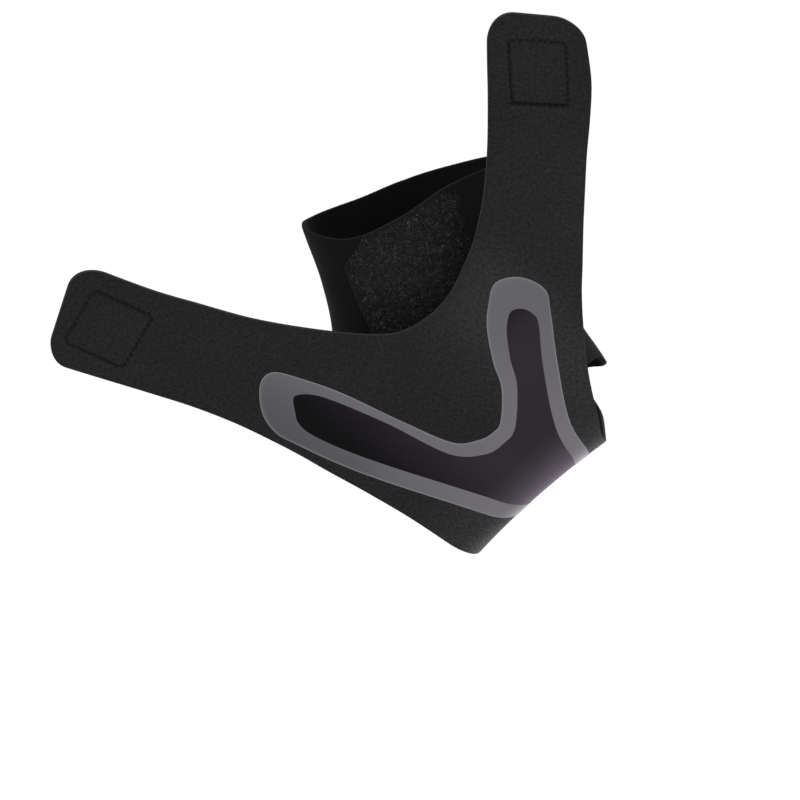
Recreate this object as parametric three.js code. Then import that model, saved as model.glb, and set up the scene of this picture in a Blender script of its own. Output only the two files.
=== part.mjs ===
// Ankle brace for a left foot, as worn with both of its straps undone.
// Millimetres. +Z up, +X towards the heel, -Y the outer side of the ankle.
// The origin is the middle of the ankle, inside the sleeve.

import * as THREE from 'three';
import { mergeVertices } from 'three/addons/utils/BufferGeometryUtils.js';

// Sleeve round the ankle
const SLEEVE_WALL = 2.2;
const SLEEVE_HEIGHT = 140; // from its lowest to its highest edge
const ANKLE_DEPTH = 102; // front to back at the height of the origin
const ANKLE_WIDTH = 68; // side to side at the height of the origin
const SECTION_POWER = 2.4; // 2 is an ellipse, more is squarer

// Wrap: one Y-shaped piece under the foot, up the outer side and out into two straps
const WRAP_THICKNESS = 2.6;
const BAND_WIDTH = 82; // of the band under the foot, measured along the foot
const PANEL_HEIGHT = 136; // from the middle of the sole round to the notch between the straps
const INNER_TAB_HEIGHT = 104; // from the middle of the sole round to the end on the inner side
const FRONT_STRAP_REACH = 162; // from the notch to the middle of the tip
const FRONT_STRAP_WIDTH = 49;
const REAR_STRAP_REACH = 148;
const REAR_STRAP_WIDTH = 45;
const TIP_CORNER_RADIUS = 12.5;

// How the wrap lies round the foot
const FOOT_PITCH = 43.7; // degrees that the toes point down
const SOLE_DEPTH = 109; // from the middle of the ankle down to the sole
const BAND_SETBACK = -30; // from the middle of the ankle along the foot, heel positive
const SOLE_CORNER_RADIUS = 22;
const SOLE_ARCH = 2.5; // rise of the sole in the middle of the band
const SIDE_LEAN = 10; // degrees that the outer side leans out
const SIDE_CLEARANCE = 0.2; // between the ankle's half width and the side of the wrap's corner
const STRAP_FLARE = 3.24; // outward bow of a strap at one flare length past its start
const FLARE_START = 90; // girth from the sole's middle where the bow starts
const FLARE_LENGTH = 90;

// Pieces sewn or laid on
const PIECE_GAP = 0.3;
const LOOP_PANEL_THICKNESS = 1.5;
const STRIPE_THICKNESS = 0.6;
const STRIPE_WIDTH = 8;
const HOOK_PATCH_LENGTH = 31;
const HOOK_PATCH_THICKNESS = 1.3;
// Hook patches: width, inset from the strap's tip, shift towards the strap's lower edge,
// turn in degrees, and skew along the strap for each millimetre across
const FRONT_PATCH = { width: 30, inset: 7.4, shift: 1.7, turn: -6, skew: -0.04 };
const REAR_PATCH = { width: 26, inset: 11, shift: 0, turn: 0, skew: 0.2 };

// Sleeve sections from the lowest to the highest: height in sleeve heights,
// front and back in ankle depths, width in ankle widths
const SLEEVE_SECTIONS = [
  { height: -0.72, front: -0.65, back: 0.88, width: 0.85 },
  { height: -0.54, front: -0.55, back: 0.89, width: 0.91 },
  { height: -0.37, front: -0.476, back: 0.865, width: 0.985 },
  { height: -0.2, front: -0.444, back: 0.727, width: 1.015 },
  { height: 0, front: -0.492, back: 0.525, width: 1 },
  { height: 0.215, front: -0.588, back: 0.407, width: 0.97 },
  { height: 0.4, front: -0.642, back: 0.353, width: 0.97 },
  { height: 0.57, front: -0.676, back: 0.324, width: 0.97 },
];

// Upper and lower edge of the sleeve in sleeve heights, by the angle in degrees
// from the front: 90 is the outer side, 180 the back, 270 the inner side
const SLEEVE_EDGES = [
  { angle: 0, top: 0.196, bottom: -0.44 },
  { angle: 35, top: 0.194, bottom: -0.43 },
  { angle: 60, top: 0.206, bottom: -0.39 },
  { angle: 90, top: 0.29, bottom: -0.36 },
  { angle: 115, top: 0.384, bottom: -0.33 },
  { angle: 140, top: 0.427, bottom: -0.26 },
  { angle: 160, top: 0.44, bottom: -0.246 },
  { angle: 170, top: 0.443, bottom: -0.254 },
  { angle: 180, top: 0.44, bottom: -0.286 },
  { angle: 200, top: 0.415, bottom: -0.325 },
  { angle: 220, top: 0.38, bottom: -0.362 },
  { angle: 245, top: 0.332, bottom: -0.43 },
  { angle: 270, top: 0.28, bottom: -0.5 },
  { angle: 300, top: 0.214, bottom: -0.53 },
  { angle: 330, top: 0.187, bottom: -0.5 },
  { angle: 360, top: 0.196, bottom: -0.44 },
];

// Fold lines of the wrap from its inner end over the sole to the notch: front and
// back edge and middle seam in band widths, their girths in panel heights
const PANEL_FOLDS = [
  { front: -0.512, frontGirth: -0.1, back: 0.488, backGirth: -0.1, seam: 0, seamGirth: -0.1 },
  { front: -0.519, frontGirth: 0.17, back: 0.489, backGirth: 0.18, seam: 0.012, seamGirth: 0.184 },
  { front: -0.547, frontGirth: 0.316, back: 0.616, backGirth: 0.34, seam: 0.05, seamGirth: 0.33 },
  { front: -0.585, frontGirth: 0.493, back: 0.751, backGirth: 0.475, seam: 0.1, seamGirth: 0.5 },
  { front: -0.637, frontGirth: 0.665, back: 0.91, backGirth: 0.605, seam: 0.195, seamGirth: 0.735 },
  { front: -0.692, frontGirth: 0.824, back: 1.031, backGirth: 0.694, seam: 0.33, seamGirth: 1 },
];

// Fold lines of each strap: the middle's place from the notch in strap reaches,
// the width in strap widths, and the fold's lean in degrees
const FRONT_STRAP_FOLDS = [
  { along: -0.312, around: -0.011, width: 1.5, lean: 10 },
  { along: -0.364, around: 0.083, width: 1.3, lean: 9.6 },
  { along: -0.421, around: 0.201, width: 1.125, lean: 12.7 },
  { along: -0.477, around: 0.323, width: 1.025, lean: 14.2 },
  { along: -0.533, around: 0.454, width: 1, lean: 15 },
  { along: -0.588, around: 0.586, width: 0.99, lean: 15.8 },
  { along: -0.651, around: 0.763, width: 1.03, lean: 28 },
];
const REAR_STRAP_FOLDS = [
  { along: 0.273, around: -0.105, width: 1.37, lean: 148 },
  { along: 0.359, around: -0.044, width: 1.25, lean: 153.6 },
  { along: 0.448, around: 0.024, width: 1.157, lean: 157.6 },
  { along: 0.546, around: 0.11, width: 1.076, lean: 157 },
  { along: 0.64, around: 0.2, width: 1.036, lean: 152 },
  { along: 0.731, around: 0.298, width: 1.01, lean: 142.5 },
  { along: 0.803, around: 0.389, width: 0.975, lean: 136.7 },
  { along: 0.88, around: 0.49, width: 0.93, lean: 127.5 },
];

// The loop panel's front and back edge as angles round the sleeve, at shares of the
// way from its lower edge to its upper edge
const LOOP_PANEL_EDGES = [
  { rise: 0, front: 57, back: 116 },
  { rise: 0.3, front: 53, back: 116.5 },
  { rise: 0.55, front: 50.5, back: 117 },
  { rise: 0.78, front: 51, back: 117.5 },
  { rise: 0.9, front: 61, back: 118 },
  { rise: 1, front: 70, back: 118 },
];
const LOOP_PANEL_BOTTOM = -0.2; // in sleeve heights

// The stripe, a closed loop from the front of the sole: its middle along the foot in
// band widths and its girth in panel heights, its width in stripe widths, and the
// direction in degrees from its inner edge to its outer edge
const STRIPE_SECTIONS = [
  { along: -0.167, girth: 0.24, width: 1.07, lean: -158 },
  { along: -0.466, girth: 0.66, width: 1.01, lean: -160 },
  { along: -0.578, girth: 0.84, width: 0.95, lean: -168 },
  { along: -0.64, girth: 0.977, width: 1.04, lean: 171 },
  { along: -0.652, girth: 1.05, width: 1.41, lean: 159 },
  { along: -0.614, girth: 1.113, width: 1.89, lean: 132 },
  { along: -0.532, girth: 1.172, width: 2.18, lean: 104 },
  { along: -0.466, girth: 1.173, width: 2.05, lean: 86 },
  { along: -0.397, girth: 1.109, width: 1.08, lean: 69 },
  { along: -0.325, girth: 1.003, width: 0.66, lean: 1 },
  { along: -0.225, girth: 0.8, width: 0.76, lean: -32 },
  { along: -0.121, girth: 0.588, width: 0.76, lean: 34 },
  { along: 0.004, girth: 0.512, width: 1.03, lean: 67 },
  { along: 0.109, girth: 0.497, width: 0.98, lean: 86 },
  { along: 0.201, girth: 0.511, width: 0.97, lean: 108 },
  { along: 0.363, girth: 0.611, width: 0.9, lean: 141 },
  { along: 0.443, girth: 0.701, width: 0.99, lean: 142 },
  { along: 0.543, girth: 0.792, width: 1.28, lean: 111 },
  { along: 0.621, girth: 0.84, width: 1.57, lean: 91 },
  { along: 0.71, girth: 0.873, width: 2.06, lean: 74 },
  { along: 0.796, girth: 0.841, width: 1.98, lean: 52 },
  { along: 0.829, girth: 0.772, width: 1.67, lean: 27 },
  { along: 0.781, girth: 0.713, width: 1.08, lean: 10 },
  { along: 0.617, girth: 0.575, width: 0.88, lean: -19 },
  { along: 0.415, girth: 0.375, width: 0.9, lean: -16 },
  { along: 0.338, girth: 0.21, width: 1.01, lean: -22 },
  { along: 0.25, girth: 0.077, width: 1.08, lean: -36 },
  { along: 0.061, girth: -0.029, width: 1, lean: -90 },
  { along: -0.1, girth: 0.082, width: 1.02, lean: -140 },
];

// How finely the surfaces are cut into facets
const SLEEVE_SIDES = 56;
const SLEEVE_RINGS = 14;
const STRIP_COLUMNS = 5;
const ROW_SPACING = 5; // between fold lines of the wrap, measured along its middle seam
const STRAP_ROWS_PER_FOLD = 3;
const TIP_ROWS = 5;
const STRIPE_ROW_SPACING = 3.6;
const TOUCH = 1e-3;

const radians = THREE.MathUtils.degToRad;
const clamp = THREE.MathUtils.clamp;

// Curve helpers

// Smooth curve through rows of numbers, at a place counted in rows
function throughRows(rows, place) {
  const last = rows.length - 1;
  const start = Math.min(Math.floor(clamp(place, 0, last)), last - 1);
  const t = clamp(place, 0, last) - start;
  const row = (index) => {
    if (index < 0) return rows[0].map((value, k) => 2 * value - rows[1][k]);
    if (index > last) return rows[last].map((value, k) => 2 * value - rows[last - 1][k]);
    return rows[index];
  };
  const [before, from, to, after] = [row(start - 1), row(start), row(start + 1), row(start + 2)];
  return from.map((value, k) => {
    const slope = (to[k] - before[k]) / 2;
    const nextSlope = (after[k] - value) / 2;
    const change = to[k] - value;
    const square = 3 * change - 2 * slope - nextSlope;
    const cube = slope + nextSlope - 2 * change;
    return value + t * (slope + t * (square + t * cube));
  });
}

// Place in rows at which a rising first column reaches a value
function placeOf(rows, value) {
  const last = rows.length - 1;
  const start = clamp(rows.findIndex((row) => row[0] > value) - 1, 0, last - 1);
  const from = value >= rows[last][0] ? last - 1 : start;
  return from + (value - rows[from][0]) / (rows[from + 1][0] - rows[from][0]);
}

function mix(from, to, t) {
  return from.map((value, k) => value + (to[k] - value) * t);
}

function distance(from, to) {
  return Math.hypot(...from.map((value, k) => to[k] - value));
}

// Solid of even thickness from a grid of points with their outward normals

class Sheet {
  constructor() {
    this.points = [];
    this.normals = [];
    this.faces = [];
    this.index = new Map();
  }

  // Points that coincide share one corner
  corner(point, normal) {
    const key = point.toArray().map((value) => Math.round(value / TOUCH)).join();
    if (!this.index.has(key)) {
      this.index.set(key, this.points.length);
      this.points.push(point);
      this.normals.push(normal);
    }
    return this.index.get(key);
  }

  // Rows of corners become facets, turned so that they face along the normals
  grid(rows) {
    for (let i = 0; i + 1 < rows.length; i += 1) {
      for (let j = 0; j + 1 < rows[i].length; j += 1) {
        this.face(rows[i][j], rows[i + 1][j], rows[i + 1][j + 1]);
        this.face(rows[i][j], rows[i + 1][j + 1], rows[i][j + 1]);
      }
    }
  }

  face(a, b, c) {
    if (a === b || b === c || c === a) return;
    const [p, q, r] = [a, b, c].map((k) => this.points[k]);
    const across = q.clone().sub(p).cross(r.clone().sub(p));
    this.faces.push(across.dot(this.normals[a]) > 0 ? [a, b, c] : [a, c, b]);
  }

  // Both faces, and a wall along each edge that only one facet has
  thicken(outward, inward) {
    const count = this.points.length;
    const vertices = [];
    for (const offset of [outward, -inward]) {
      this.points.forEach((point, k) => {
        vertices.push(...point.clone().addScaledVector(this.normals[k], offset).toArray());
      });
    }
    const edges = new Map();
    for (const [a, b, c] of this.faces) {
      for (const [from, to] of [[a, b], [b, c], [c, a]]) edges.set(`${from},${to}`, [from, to]);
    }
    const triangles = [];
    for (const [a, b, c] of this.faces) {
      triangles.push(a, b, c, a + count, c + count, b + count);
    }
    for (const [from, to] of edges.values()) {
      if (edges.has(`${to},${from}`)) continue;
      triangles.push(to, from, from + count, to, from + count, to + count);
    }
    const geometry = new THREE.BufferGeometry();
    geometry.setAttribute('position', new THREE.Float32BufferAttribute(vertices, 3));
    geometry.setIndex(triangles);
    return mergeVertices(geometry, TOUCH);
  }
}

// Sleeve surface

const sleeveRows = SLEEVE_SECTIONS.map((row) => [
  row.height * SLEEVE_HEIGHT,
  row.front * ANKLE_DEPTH,
  row.back * ANKLE_DEPTH,
  (row.width * ANKLE_WIDTH) / 2,
]);
const sleeveEdgeRows = SLEEVE_EDGES.map((row) => [
  row.angle,
  row.top * SLEEVE_HEIGHT,
  row.bottom * SLEEVE_HEIGHT,
]);

function sleeveSection(z) {
  const [, front, back, halfWidth] = throughRows(sleeveRows, placeOf(sleeveRows, z));
  return { middle: (front + back) / 2, halfDepth: (back - front) / 2, halfWidth };
}

// Less than 1 inside the sleeve's outer surface, more outside
function sleeveLevel(x, y, z) {
  const { middle, halfDepth, halfWidth } = sleeveSection(z);
  const along = Math.abs((x - middle) / halfDepth) ** SECTION_POWER;
  return along + Math.abs(y / halfWidth) ** SECTION_POWER;
}

function sleeveNormal(point) {
  const step = 0.05;
  const [x, y, z] = point.toArray();
  return new THREE.Vector3(
    sleeveLevel(x + step, y, z) - sleeveLevel(x - step, y, z),
    sleeveLevel(x, y + step, z) - sleeveLevel(x, y - step, z),
    sleeveLevel(x, y, z + step) - sleeveLevel(x, y, z - step),
  ).normalize();
}

function sleevePoint(angle, z) {
  const { middle, halfDepth, halfWidth } = sleeveSection(z);
  const power = 2 / SECTION_POWER;
  const cosine = Math.cos(radians(angle));
  const sine = Math.sin(radians(angle));
  return new THREE.Vector3(
    middle - halfDepth * Math.sign(cosine) * Math.abs(cosine) ** power,
    -halfWidth * Math.sign(sine) * Math.abs(sine) ** power,
    z,
  );
}

// The edges go by the direction in which a point lies on the squared section
function sleeveEdges(angle) {
  const power = 2 / SECTION_POWER;
  const quarter = Math.floor(angle / 90) * 90;
  const sine = Math.sin(radians(angle - quarter)) ** power;
  const cosine = Math.cos(radians(angle - quarter)) ** power;
  const direction = quarter + THREE.MathUtils.radToDeg(Math.atan2(sine, cosine));
  const [, top, bottom] = throughRows(sleeveEdgeRows, placeOf(sleeveEdgeRows, direction));
  return { top, bottom };
}

function ankleSleeve() {
  const sheet = new Sheet();
  const rows = [];
  for (let side = 0; side <= SLEEVE_SIDES; side += 1) {
    const angle = (360 * side) / SLEEVE_SIDES;
    const { top, bottom } = sleeveEdges(angle);
    const row = [];
    for (let ring = 0; ring <= SLEEVE_RINGS; ring += 1) {
      const point = sleevePoint(angle, bottom + ((top - bottom) * ring) / SLEEVE_RINGS);
      row.push(sheet.corner(point, sleeveNormal(point)));
    }
    rows.push(row);
  }
  sheet.grid(rows);
  return sheet.thicken(0, SLEEVE_WALL);
}

function loopPanel() {
  const edgeRows = LOOP_PANEL_EDGES.map((row) => [row.rise, row.front, row.back]);
  const columns = 12;
  const steps = 16;
  const sheet = new Sheet();
  const rows = [];
  for (let step = 0; step <= steps; step += 1) {
    const rise = step / steps;
    const [, front, back] = throughRows(edgeRows, placeOf(edgeRows, rise));
    const row = [];
    for (let column = 0; column <= columns; column += 1) {
      const angle = front + ((back - front) * column) / columns;
      const bottom = LOOP_PANEL_BOTTOM * SLEEVE_HEIGHT;
      const point = sleevePoint(angle, bottom + (sleeveEdges(angle).top - bottom) * rise);
      row.push(sheet.corner(point, sleeveNormal(point)));
    }
    rows.push(row);
  }
  sheet.grid(rows);
  return sheet.thicken(PIECE_GAP + LOOP_PANEL_THICKNESS, -PIECE_GAP);
}

// Wrap surface: a flat pattern bent round the foot

const pitch = radians(FOOT_PITCH);
const toHeel = new THREE.Vector3(Math.cos(pitch), 0, Math.sin(pitch));
const upFromSole = new THREE.Vector3(-Math.sin(pitch), 0, Math.cos(pitch));
const toOuterSide = new THREE.Vector3(0, -1, 0);
const lean = radians(SIDE_LEAN);
const outerTurn = Math.PI / 2 - lean;
const soleHalfFlat = ANKLE_WIDTH / 2 + SIDE_CLEARANCE - SOLE_CORNER_RADIUS * Math.sin(outerTurn);
const outerCornerEnd = soleHalfFlat + SOLE_CORNER_RADIUS * outerTurn;
const innerCornerEnd = soleHalfFlat + (SOLE_CORNER_RADIUS * Math.PI) / 2;

// Girth from the middle of the sole to a place across the foot and up from the sole
function aroundFoot(girth) {
  const outerAngle = clamp((girth - soleHalfFlat) / SOLE_CORNER_RADIUS, 0, outerTurn);
  const innerAngle = clamp((-girth - soleHalfFlat) / SOLE_CORNER_RADIUS, 0, Math.PI / 2);
  const upOuter = Math.max(girth - outerCornerEnd, 0);
  const upInner = Math.max(-girth - innerCornerEnd, 0);
  const bow = STRAP_FLARE * (Math.max(girth - FLARE_START, 0) / FLARE_LENGTH) ** 2;
  const flat = clamp(girth, -soleHalfFlat, soleHalfFlat);
  const corner = SOLE_CORNER_RADIUS * (Math.sin(outerAngle) - Math.sin(innerAngle));
  const rise = SOLE_CORNER_RADIUS * (2 - Math.cos(outerAngle) - Math.cos(innerAngle));
  return {
    across: flat + corner + upOuter * Math.sin(lean) + bow * Math.cos(lean),
    up: rise + upOuter * Math.cos(lean) + upInner - bow * Math.sin(lean),
  };
}

// How far the inner side of the wrap must stand out to lie on the sleeve
function clearOfSleeve(x, z) {
  const { middle, halfDepth, halfWidth } = sleeveSection(z);
  const along = clamp(Math.abs((x - middle) / halfDepth), 0, 1) ** SECTION_POWER;
  const surface = halfWidth * (1 - along) ** (1 / SECTION_POWER);
  return surface + PIECE_GAP + WRAP_THICKNESS / 2;
}

function wrapPoint([along, girth]) {
  const { across, up } = aroundFoot(girth);
  const underFoot = 1 - THREE.MathUtils.smoothstep(Math.abs(girth), soleHalfFlat, outerCornerEnd);
  const arch = SOLE_ARCH * underFoot * Math.max(1 - (2 * along / BAND_WIDTH) ** 2, 0);
  const point = toHeel.clone().multiplyScalar(BAND_SETBACK + along);
  point.addScaledVector(upFromSole, up + arch - SOLE_DEPTH);
  point.addScaledVector(toOuterSide, across);
  if (girth < 0) {
    const share = THREE.MathUtils.smoothstep(-girth, soleHalfFlat, innerCornerEnd);
    const clear = clearOfSleeve(point.x, point.z);
    point.y = Math.max(point.y, THREE.MathUtils.lerp(point.y, clear, share));
  }
  return point;
}

function wrapNormal([along, girth]) {
  const step = 0.5;
  const onward = wrapPoint([along + step, girth]).sub(wrapPoint([along - step, girth]));
  const round = wrapPoint([along, girth + step]).sub(wrapPoint([along, girth - step]));
  return onward.cross(round).normalize();
}

// Outline of the flat pattern

const notch = [
  PANEL_FOLDS.at(-1).seam * BAND_WIDTH,
  PANEL_FOLDS.at(-1).seamGirth * PANEL_HEIGHT,
];

function panelEdge(name) {
  const rows = PANEL_FOLDS.map((row) => [row[name] * BAND_WIDTH, row[`${name}Girth`] * PANEL_HEIGHT]);
  return [[rows[0][0], -INNER_TAB_HEIGHT], ...rows];
}

// Ends of a strap's fold lines: outer edge and notch edge
function strapFolds(table, reach, width) {
  return table.map((row) => {
    const middle = [notch[0] + row.along * reach, notch[1] + row.around * reach];
    const half = [Math.cos(radians(row.lean)), Math.sin(radians(row.lean))];
    const side = (sign) => middle.map((value, k) => value + (sign * half[k] * row.width * width) / 2);
    return { outer: side(-1), inner: side(1) };
  });
}

const frontFolds = strapFolds(FRONT_STRAP_FOLDS, FRONT_STRAP_REACH, FRONT_STRAP_WIDTH);
const rearFolds = strapFolds(REAR_STRAP_FOLDS, REAR_STRAP_REACH, REAR_STRAP_WIDTH);

// One half of the wrap, from its inner end to a strap's tip: each fold line runs
// from the outer edge to the middle seam, and past the notch to the strap's other edge
function halfWrap(name, folds, otherFolds) {
  const panel = panelEdge(name);
  const outer = [...panel, ...folds.map((fold) => fold.outer)];
  const seam = panelEdge('seam');
  const notchEdge = [otherFolds[0].inner, notch, ...folds.map((fold) => fold.inner)];
  const notchPlace = panel.length - 1;
  const fold = (place) => {
    const from = throughRows(outer, place);
    if (place <= notchPlace) return [from, throughRows(seam, place)];
    return [from, throughRows(notchEdge, 1 + place - notchPlace)];
  };
  return { fold, notchPlace, tipPlace: outer.length - 1 };
}

const frontHalf = halfWrap('front', frontFolds, rearFolds);
const rearHalf = halfWrap('back', rearFolds, frontFolds);

// The strap's middle line as many short steps, with the length from the tip
function middleLine({ fold, notchPlace, tipPlace }) {
  const steps = 200;
  const line = [];
  for (let step = steps; step >= 0; step -= 1) {
    const place = notchPlace + ((tipPlace - notchPlace) * step) / steps;
    const middle = mix(...fold(place), 0.5);
    const before = line.at(-1);
    const fromTip = before ? before.fromTip + distance(before.middle, middle) : 0;
    line.push({ place, middle, fromTip });
  }
  return line;
}

function stepAt(line, fromTip) {
  return line.find((step) => step.fromTip >= fromTip) ?? line.at(-1);
}

// Fold lines as rows of the pattern, close together round the tip's corners
function patternRows(half) {
  const seam = panelEdge('seam');
  const rows = [];
  for (let start = 0; start < half.notchPlace; start += 1) {
    const count = Math.ceil(distance(seam[start], seam[start + 1]) / ROW_SPACING);
    for (let k = 0; k < count; k += 1) rows.push(half.fold(start + k / count));
  }
  rows.push(half.fold(half.notchPlace));
  const line = middleLine(half);
  const bodyEnd = stepAt(line, TIP_CORNER_RADIUS).place;
  const bodyRows = Math.ceil((bodyEnd - half.notchPlace) * STRAP_ROWS_PER_FOLD);
  for (let k = 1; k <= bodyRows; k += 1) {
    rows.push(half.fold(half.notchPlace + ((bodyEnd - half.notchPlace) * k) / bodyRows));
  }
  for (let k = 1; k <= TIP_ROWS; k += 1) {
    const turn = (k / TIP_ROWS) * (Math.PI / 2);
    const fromTip = TIP_CORNER_RADIUS * (1 - Math.sin(turn));
    const ends = half.fold(stepAt(line, fromTip).place);
    const inset = (TIP_CORNER_RADIUS * (1 - Math.cos(turn))) / distance(...ends);
    rows.push([mix(...ends, inset), mix(...ends, 1 - inset)]);
  }
  return rows;
}

function footWrap() {
  const sheet = new Sheet();
  for (const half of [frontHalf, rearHalf]) {
    const rows = patternRows(half).map((ends) => {
      const row = [];
      for (let column = 0; column <= STRIP_COLUMNS; column += 1) {
        const flat = mix(...ends, column / STRIP_COLUMNS);
        row.push(sheet.corner(wrapPoint(flat), wrapNormal(flat)));
      }
      return row;
    });
    sheet.grid(rows);
  }
  return sheet.thicken(WRAP_THICKNESS / 2, WRAP_THICKNESS / 2);
}

// Hook patch: a rectangle on the inner face near a strap's tip
function hookPatch(half, { width, inset, shift, turn, skew }) {
  const line = middleLine(half);
  const near = stepAt(line, inset).middle;
  const far = stepAt(line, inset + HOOK_PATCH_LENGTH).middle;
  const toTip = near.map((value, k) => (value - far[k]) / distance(near, far));
  const start = [far[0] - toTip[1] * shift, far[1] + toTip[0] * shift];
  const cosine = Math.cos(radians(turn));
  const sine = Math.sin(radians(turn));
  const way = [toTip[0] * cosine - toTip[1] * sine, toTip[0] * sine + toTip[1] * cosine];
  const cells = 6;
  const sheet = new Sheet();
  const rows = [];
  for (let i = 0; i <= cells; i += 1) {
    const row = [];
    for (let j = 0; j <= cells; j += 1) {
      const side = width * (j / cells - 0.5);
      const length = (HOOK_PATCH_LENGTH * i) / cells + skew * side;
      const flat = [
        start[0] + way[0] * length - way[1] * side,
        start[1] + way[1] * length + way[0] * side,
      ];
      row.push(sheet.corner(wrapPoint(flat), wrapNormal(flat)));
    }
    rows.push(row);
  }
  sheet.grid(rows);
  const seat = WRAP_THICKNESS / 2 + PIECE_GAP;
  return sheet.thicken(-seat, seat + HOOK_PATCH_THICKNESS);
}

// Stripe: a closed band on the outer face of the wrap
function contourStripe() {
  const sections = STRIPE_SECTIONS.map((row) => {
    const half = (row.width * STRIPE_WIDTH) / 2;
    const out = [half * Math.cos(radians(row.lean)), half * Math.sin(radians(row.lean))];
    const middle = [row.along * BAND_WIDTH, row.girth * PANEL_HEIGHT];
    return [middle[0] - out[0], middle[1] - out[1], middle[0] + out[0], middle[1] + out[1]];
  });
  const looped = [sections.at(-1), ...sections, sections[0], sections[1]];
  const places = [];
  for (let start = 1; start <= sections.length; start += 1) {
    const steps = Math.ceil(distance(looped[start], looped[start + 1]) / STRIPE_ROW_SPACING / Math.SQRT2);
    for (let k = 0; k < steps; k += 1) places.push(start + k / steps);
  }
  const columns = 2;
  const sheet = new Sheet();
  const rows = places.concat(places[0]).map((place) => {
    const ends = throughRows(looped, place);
    const row = [];
    for (let column = 0; column <= columns; column += 1) {
      const flat = mix(ends.slice(0, 2), ends.slice(2), column / columns);
      row.push(sheet.corner(wrapPoint(flat), wrapNormal(flat)));
    }
    return row;
  });
  sheet.grid(rows);
  const seat = WRAP_THICKNESS / 2 + PIECE_GAP;
  return sheet.thicken(seat + STRIPE_THICKNESS, -seat);
}

// Materials

const neoprene = new THREE.MeshStandardMaterial({ color: 0x212121, roughness: 0.85, metalness: 0 });
const loopPile = new THREE.MeshStandardMaterial({ color: 0x17181a, roughness: 1, metalness: 0 });
const hookTape = new THREE.MeshStandardMaterial({ color: 0x101011, roughness: 0.7, metalness: 0 });
const greyBand = new THREE.MeshStandardMaterial({ color: 0x68676b, roughness: 0.6, metalness: 0 });

function piece(name, geometry, material) {
  const mesh = new THREE.Mesh(geometry, material);
  mesh.name = name;
  return mesh;
}

const brace = new THREE.Group();
brace.add(
  piece('ankle_sleeve', ankleSleeve(), neoprene),
  piece('foot_wrap', footWrap(), neoprene),
  piece('loop_panel', loopPanel(), loopPile),
  piece('contour_stripe', contourStripe(), greyBand),
  piece('front_hook_patch', hookPatch(frontHalf, FRONT_PATCH), hookTape),
  piece('rear_hook_patch', hookPatch(rearHalf, REAR_PATCH), hookTape),
);

export default brace;
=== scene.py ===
import math

import bpy
import numpy as np
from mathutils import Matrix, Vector


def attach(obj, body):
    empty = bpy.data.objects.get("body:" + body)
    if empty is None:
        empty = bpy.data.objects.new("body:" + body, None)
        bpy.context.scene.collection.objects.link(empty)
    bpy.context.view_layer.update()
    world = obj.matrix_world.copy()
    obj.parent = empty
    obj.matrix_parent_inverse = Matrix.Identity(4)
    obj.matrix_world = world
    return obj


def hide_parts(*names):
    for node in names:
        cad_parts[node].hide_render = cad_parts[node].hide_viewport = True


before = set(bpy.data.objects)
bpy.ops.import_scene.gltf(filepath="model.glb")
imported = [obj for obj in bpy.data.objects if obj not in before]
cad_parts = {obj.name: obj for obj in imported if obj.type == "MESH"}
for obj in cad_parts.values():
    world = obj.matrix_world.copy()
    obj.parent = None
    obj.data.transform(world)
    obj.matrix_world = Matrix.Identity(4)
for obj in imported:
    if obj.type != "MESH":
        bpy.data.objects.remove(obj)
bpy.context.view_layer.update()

# Ankle brace for a left foot, worn with both straps undone. Sizes are in millimetres,
# as in the part, and become metres when a mesh is made.
MM = 0.001

# Sleeve round the ankle
SLEEVE_WALL = 2.2
SLEEVE_HEIGHT = 140
ANKLE_DEPTH = 102
ANKLE_WIDTH = 68
SECTION_POWER = 2.4

# Wrap: one Y-shaped piece under the foot, up the outer side and out into two straps
WRAP_THICKNESS = 2.6
BAND_WIDTH = 82
PANEL_HEIGHT = 136
INNER_TAB_HEIGHT = 104
FRONT_STRAP_REACH = 162
FRONT_STRAP_WIDTH = 49
REAR_STRAP_REACH = 148
REAR_STRAP_WIDTH = 45
TIP_CORNER_RADIUS = 12.5

# How the wrap lies round the foot
FOOT_PITCH = math.radians(43.7)
SOLE_DEPTH = 109
BAND_SETBACK = -30
SOLE_CORNER_RADIUS = 22
SOLE_ARCH = 2.5
SIDE_LEAN = math.radians(10)
SIDE_CLEARANCE = 0.2
STRAP_FLARE = 3.24
FLARE_START = 90
FLARE_LENGTH = 90

# Pieces sewn or laid on
PIECE_GAP = 0.3
STRIPE_WIDTH = 8
HOOK_PATCH_LENGTH = 31
# Hook patches: width, inset from the strap's tip, shift towards the strap's lower edge,
# turn in degrees, and skew along the strap for each millimetre across
FRONT_PATCH = {"width": 30, "inset": 7.4, "shift": 1.7, "turn": -6, "skew": -0.04}
REAR_PATCH = {"width": 26, "inset": 11, "shift": 0, "turn": 0, "skew": 0.2}
LOOP_PANEL_BOTTOM = -0.2

# Height in sleeve heights, front and back in ankle depths, width in ankle widths
SLEEVE_SECTIONS = np.array([
    (-0.72, -0.65, 0.88, 0.85),
    (-0.54, -0.55, 0.89, 0.91),
    (-0.37, -0.476, 0.865, 0.985),
    (-0.2, -0.444, 0.727, 1.015),
    (0, -0.492, 0.525, 1),
    (0.215, -0.588, 0.407, 0.97),
    (0.4, -0.642, 0.353, 0.97),
    (0.57, -0.676, 0.324, 0.97),
])

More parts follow.
